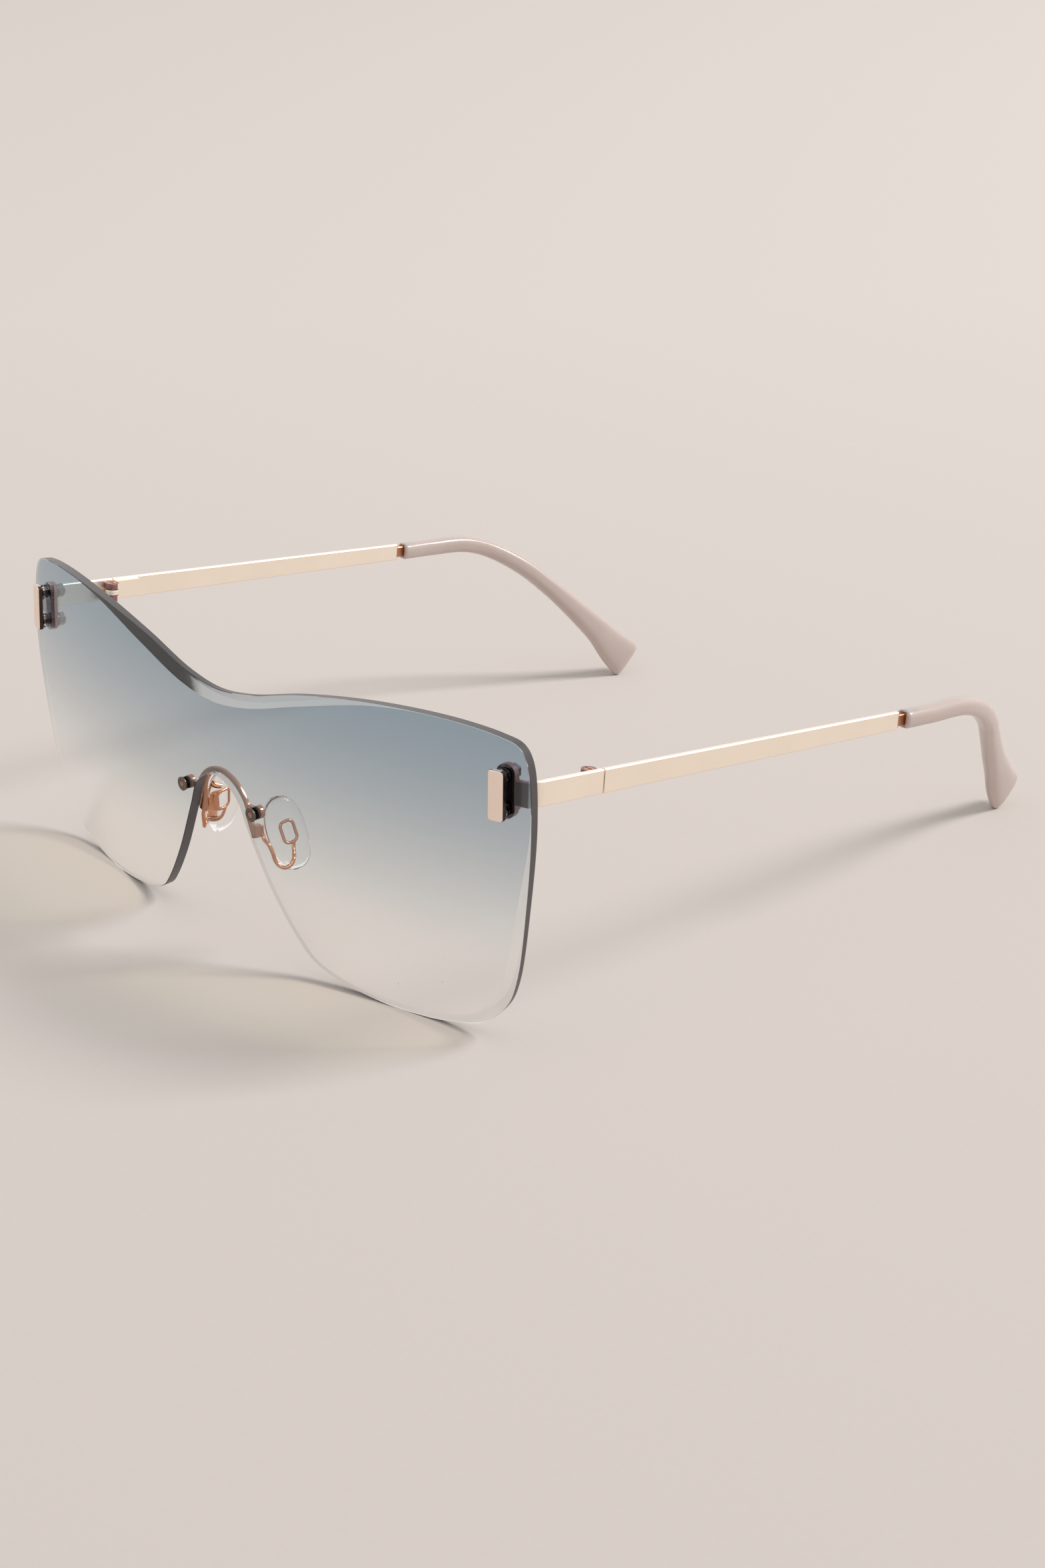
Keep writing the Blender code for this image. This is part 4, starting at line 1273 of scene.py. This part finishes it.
@dataclass
class TempleTips:
    """The moulded sleeves that bend down behind the ear and widen to a paddle."""

    wardrobe: Wardrobe
    mouth: Vector = Vector((0.071, 0.02415, 0.03561))
    bar_run: Vector = Vector((0.0, 0.9926, -0.1184))
    across: Vector = Vector((1.0, 0.0, 0.0))
    bore: tuple[float, float, float] = (0.0015, 0.006, 0.0028)
    tuck: float = 0.0163
    run: float = 0.0493
    foot: float = 0.003259
    size: tuple[float, float] = (0.0035, 0.00345)
    paddle: tuple[float, float] = (0.003, 0.0086)
    rim: float = 0.0005
    paddle_rim: float = 0.0012
    exponent: float = 2.7
    sides: int = 48
    steps: int = 7
    rim_steps: int = 7
    smooth_angle: float = math.radians(40)
    # Centre line from mouth to end: shares of tuck, run and drop, then of the paddle's growth
    path_shares: tuple[tuple[float, float, float, float], ...] = (
        (0.0, 0.0, 0.0, 0.0),
        (0.0, 0.159, 0.026, 0.0),
        (0.043, 0.342, 0.062, 0.0),
        (0.123, 0.464, 0.135, 0.0),
        (0.325, 0.607, 0.288, 0.04),
        (0.546, 0.719, 0.468, 0.1),
        (0.736, 0.817, 0.65, 0.26),
        (0.853, 0.888, 0.781, 0.47),
        (0.939, 0.948, 0.909, 0.79),
        (1.0, 1.0, 1.0, 1.0),
    )

    def build(self) -> Iterator[bpy.types.Object]:
        """Model the left tip and copy it to the right.

        Yields:
            Each tip.
        """
        piece = Bench.skin("temple_tip_left_moulding", self._rings())
        self._open_mouth(piece)
        twin = Bench.mirrored(piece, "temple_tip_right_moulding")
        for item, side in ((piece, Side.LEFT), (twin, Side.RIGHT)):
            body = f"{side.word}_temple"
            yield dress(item, [self.wardrobe.taupe], Slot.TAUPE, body, f"temple_tip_{side.word}")

    def _ring(self, place: Vector, run: Vector, growth: float, inset: float = 0.0) -> Points:
        """Set the sleeve's section square to its centre line.

        Args:
            place: The point of the centre line.
            run: The centre line's direction there.
            growth: How far the section has grown towards the paddle, as a share.
            inset: How much smaller it is all round.

        Returns:
            The section's points.
        """
        wide = self.size[0] + (self.paddle[0] - self.size[0]) * growth - 2 * inset
        tall = self.size[1] + (self.paddle[1] - self.size[1]) * growth - 2 * inset
        frame = frame_at(place, run, self.across.cross(run))
        return [frame @ point for point in oval(wide, tall, self.sides, self.exponent)]

    def _rings(self) -> list[Points]:
        """Sections from the rounded mouth to the rounded end.

        Returns:
            The rings of points, in order.
        """
        drop = self.mouth.z - self.foot
        rows = []
        for tuck, run, fall, growth in self.path_shares:
            place = self.mouth + Vector((-self.tuck * tuck, self.run * run, -drop * fall))
            rows.append((*place, growth * self.size[1]))
        curve = smooth_curve(rows, self.steps)
        points = [Vector(row[:3]) for row in curve]
        growths = [row[3] / self.size[1] for row in curve]
        runs = []
        for before, after in zip([points[0], *points], [*points[1:], points[-1]]):
            runs.append((after - before).normalized())
        rings = []
        for step in range(self.rim_steps):
            angle = math.pi / 2 * step / self.rim_steps
            place = points[0] + runs[0] * self.rim * (1 - math.cos(angle))
            rings.append(self._ring(place, runs[0], 0.0, self.rim * (1 - math.sin(angle))))
        for point, growth, run in zip(points[1:], growths[1:], runs[1:]):
            rings.append(self._ring(point, run, growth))
        for step in range(1, self.rim_steps + 1):
            angle = math.pi / 2 * step / (self.rim_steps + 1)
            place = points[-1] + runs[-1] * self.paddle_rim * math.sin(angle)
            rings.append(self._ring(place, runs[-1], 1.0, self.paddle_rim * (1 - math.cos(angle))))
        return rings

    def _open_mouth(self, piece: bpy.types.Object) -> None:
        """Sink a bore into the mouth for the bar's slim core.

        Args:
            piece: The left tip.
        """
        Bench.clear()
        bpy.ops.mesh.primitive_cube_add(size=1.0)
        tool = Bench.named("mouth_bore")
        frame = frame_at(self.mouth, self.bar_run, self.across.cross(self.bar_run))
        tool.data.transform(frame @ Matrix.Diagonal((*self.bore, 1.0)))
        Bench.cut(piece, tool)
        Bench.smoothed(piece, self.smooth_angle)


@dataclass
class Metalwork:
    """The pieces whose solids are right, with crisp bevels, their own finish and painted shade where
    they face the lens.
    """

    wardrobe: Wardrobe
    edge: float = 0.00006
    fine_edge: float = 0.00004
    neck_length: float = 0.0019
    tip_mouth: float = 0.02415
    strap_inside: float = 0.0703
    small_face: float = 0.000001
    # Parts of a face's normal, past which it counts as a plate's front, its end or the strap's outside
    plate_front: float = -0.5
    plate_end: float = 0.7
    strap_outside: float = 0.3

    def build(self) -> Iterator[bpy.types.Object]:
        """Refine and dress every piece of metalwork and its bushings.

        Yields:
            Each of them.
        """
        wardrobe = self.wardrobe
        plain = (
            ("hinge_screw", wardrobe.rose, Slot.ROSE_GOLD, self.fine_edge),
            ("bushing_upper", wardrobe.clear, Slot.CLEAR, self.fine_edge),
            ("bushing_lower", wardrobe.clear, Slot.CLEAR, self.fine_edge),
            ("washer_upper", wardrobe.steel, Slot.STEEL, self.fine_edge),
            ("washer_lower", wardrobe.steel, Slot.STEEL, self.fine_edge),
            ("nut_upper", wardrobe.steel, Slot.STEEL, self.edge),
            ("nut_lower", wardrobe.steel, Slot.STEEL, self.edge),
            ("nose_bushing", wardrobe.smoked, Slot.CLEAR, self.fine_edge),
        )
        for side in Side:
            for stem, material, slot, bevel in plain:
                node = f"{stem}_{side.word}"
                piece = Bench.refined(node, f"{node}_finished", bevel)
                yield dress(piece, [material], slot, "front", node)
            two_tone = (
                # The plates' sides, backs and studs get painted shade
                ("front_plate", wardrobe.plate, wardrobe.shaded, "front", self._faces_lens),
                # The end pieces' faces behind the lens get painted shade
                ("end_piece", wardrobe.gold, wardrobe.seat, "front", self._behind_lens),
                ("temple_bar", wardrobe.gold, wardrobe.neck, f"{side.word}_temple", self._on_neck),
            )
            for stem, first, second, body, chosen in two_tone:
                node = f"{stem}_{side.word}"
                piece = Bench.refined(node, f"{node}_finished", self.edge)
                for face in piece.data.polygons:
                    face.material_index = int(chosen(face))
                yield dress(piece, [first, second], Slot.GOLD, body, node)
        bridge = Bench.refined("nose_bridge", "nose_bridge_finished", self.fine_edge)
        yield dress(bridge, [wardrobe.bridge_tone], Slot.ROSE_GOLD, "front", "nose_bridge")

    def _faces_lens(self, face: bpy.types.MeshPolygon) -> bool:
        """Whether a plate's face is one of its sides or its back, with the studs, which get painted
        shade.
        """
        side = abs(face.normal.z) < self.plate_end or face.area < self.small_face
        return face.normal.y > self.plate_front and side

    def _behind_lens(self, face: bpy.types.MeshPolygon) -> bool:
        """Whether an end piece's face lies behind the lens and looks at it, and so gets painted shade.
        """
        return abs(face.center.x) < self.strap_inside and face.normal.y < self.strap_outside

    def _on_neck(self, face: bpy.types.MeshPolygon) -> bool:
        """Whether a bar's face is on the bare neck before its tip."""
        return face.center.y > self.tip_mouth - self.neck_length


@dataclass
class Studio:
    """The pale table, the even light, the softbox and the camera."""

    # Painted light: the card is darker near and lighter far along one run, standing in for uneven light
    # across the table
    table_near_painted_shade: Colour = (0.672, 0.618, 0.592)
    table_far_painted_light: Colour = (0.751, 0.704, 0.67)
    table_run: Vector = Vector((-0.755, 0.656, 0.0))
    table_reach: Span = (-0.3, 0.45)
    table_span: float = 9.0
    table_rough: float = 0.9
    table_gloss: float = 0.1
    tooth_scale: float = 900.0
    tooth_tones: Span = (0.985, 1.015)
    tooth_strength: float = 0.08
    tooth_depth: float = 0.0001
    sky: Colour = (1.0, 0.965, 0.935)
    sky_strength: float = 0.58
    seen_strength: float = 1.0
    lamp_direction: Vector = Vector((0.68, 0.86, 1.0))
    lamp_distance: float = 5.0
    lamp_size: float = 1.45
    lamp_power: float = 162.0
    lamp_colour: Colour = (1.0, 0.985, 0.96)
    eye: Vector = Vector((0.40189, -0.35433, 0.22539))
    eye_right: Vector = Vector((0.6621, 0.7491, -0.0205))
    eye_up: Vector = Vector((-0.2675, 0.2619, 0.9273))
    eye_back: Vector = Vector((0.7000, -0.6085, 0.3738))
    focal_length: float = 68.10
    sensor: float = 36.0

    def build(self) -> None:
        """Set up the view, the table, the light and the camera."""
        bpy.context.scene.view_settings.view_transform = "Standard"
        self._table()
        self._sky()
        self._lamp()
        self._camera()

    def _table(self) -> None:
        """Lay a wide sheet of pale card, with a hint of its tooth, and painted light that makes it
        lighter from near to far.
        """
        Bench.clear()
        bpy.ops.mesh.primitive_plane_add(size=self.table_span)
        table = Bench.named("table")
        material, graph = new_material("pale_card")
        wanted = {"Vector": graph.place(), "Scale": self.tooth_scale, "Detail": 3.0}
        tooth = graph.add("TexNoise", wanted).outputs[0]
        # Painted light: the card's colour runs from the near shade to the far light
        run = graph.add("VectorMath", {0: graph.place(), 1: self.table_run}, operation="DOT_PRODUCT")
        share = graph.remap(run.outputs["Value"], self.table_reach)
        tones = []
        for tone in self.tooth_tones:
            ends = (shade(self.table_near_painted_shade, tone), shade(self.table_far_painted_light, tone))
            tones.append(graph.blend(share, *ends))
        colour = graph.blend(tooth, *tones)
        normal = graph.relief(tooth, self.tooth_strength, self.tooth_depth)
        inputs = {"Base Color": colour, "Roughness": self.table_rough, "Normal": normal}
        inputs["Specular IOR Level"] = self.table_gloss
        graph.finish(graph.add("BsdfPrincipled", inputs))
        table.data.materials.append(material)
        table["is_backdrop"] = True

    def _sky(self) -> None:
        """Hang even studio light, shown brighter to the eye, in metal and through glass."""
        world = bpy.data.worlds.new("studio")
        world.use_nodes = True
        bpy.context.scene.world = world
        graph = Graph(world.node_tree)
        path = graph.add("LightPath")
        seen = path.outputs["Is Camera Ray"]
        for ray in ("Is Glossy Ray", "Is Transmission Ray"):
            seen = graph.add("Math", {0: seen, 1: path.outputs[ray]}, operation="MAXIMUM").outputs[0]
        light = graph.add("Background", {"Color": rgba(self.sky), "Strength": self.sky_strength})
        shown = graph.add("Background", {"Color": rgba(self.sky), "Strength": self.seen_strength})
        graph.add("OutputWorld", {"Surface": graph.mixed(seen, light, shown).outputs[0]})

    def _lamp(self) -> None:
        """Hang the softbox behind the lens, high on the near side."""
        toward = self.lamp_direction.normalized()
        Bench.clear()
        bpy.ops.object.light_add(
            type="AREA",
            location=toward * self.lamp_distance,
            rotation=toward.to_track_quat("Z", "Y").to_euler(),
        )
        lamp = bpy.context.active_object
        lamp.name = "softbox"
        lamp.data.energy = self.lamp_power
        lamp.data.size = self.lamp_size
        lamp.data.color = self.lamp_colour

    def _camera(self) -> None:
        """Set up the photograph's camera, fitted to the frame."""
        Bench.clear()
        bpy.ops.object.camera_add()
        camera = bpy.context.active_object
        camera.name = "camera"
        turn = Matrix((self.eye_right, self.eye_up, self.eye_back)).transposed()
        camera.matrix_world = Matrix.Translation(self.eye) @ turn.to_4x4()
        camera.data.sensor_width = self.sensor
        camera.data.lens = self.focal_length
        bpy.context.scene.camera = camera


def write_size(before: tuple[Vector, Vector], after: tuple[Vector, Vector]) -> None:
    """Args:
        before: The solids' box.
        after: The dressed model's box.
    """
    boxes = {"cad": before, "visual": after}
    {name: [list(corner) for corner in box] for name, box in boxes.items()}


def main() -> None:
    """Load the solids, build every piece over them and set up the studio."""
    logging.basicConfig(level=logging.INFO, format="%(name)s: %(message)s")
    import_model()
    solid_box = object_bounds()
    wardrobe = Wardrobe()
    for part in (Metalwork(wardrobe), Lens(wardrobe), NosePads(wardrobe), TempleTips(wardrobe)):
        for piece in part.build():
            LOG.info("%s built %s", type(part).__name__, piece.name)
    Studio().build()
    write_size(solid_box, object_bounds())


if __name__ == "__main__":
    main()
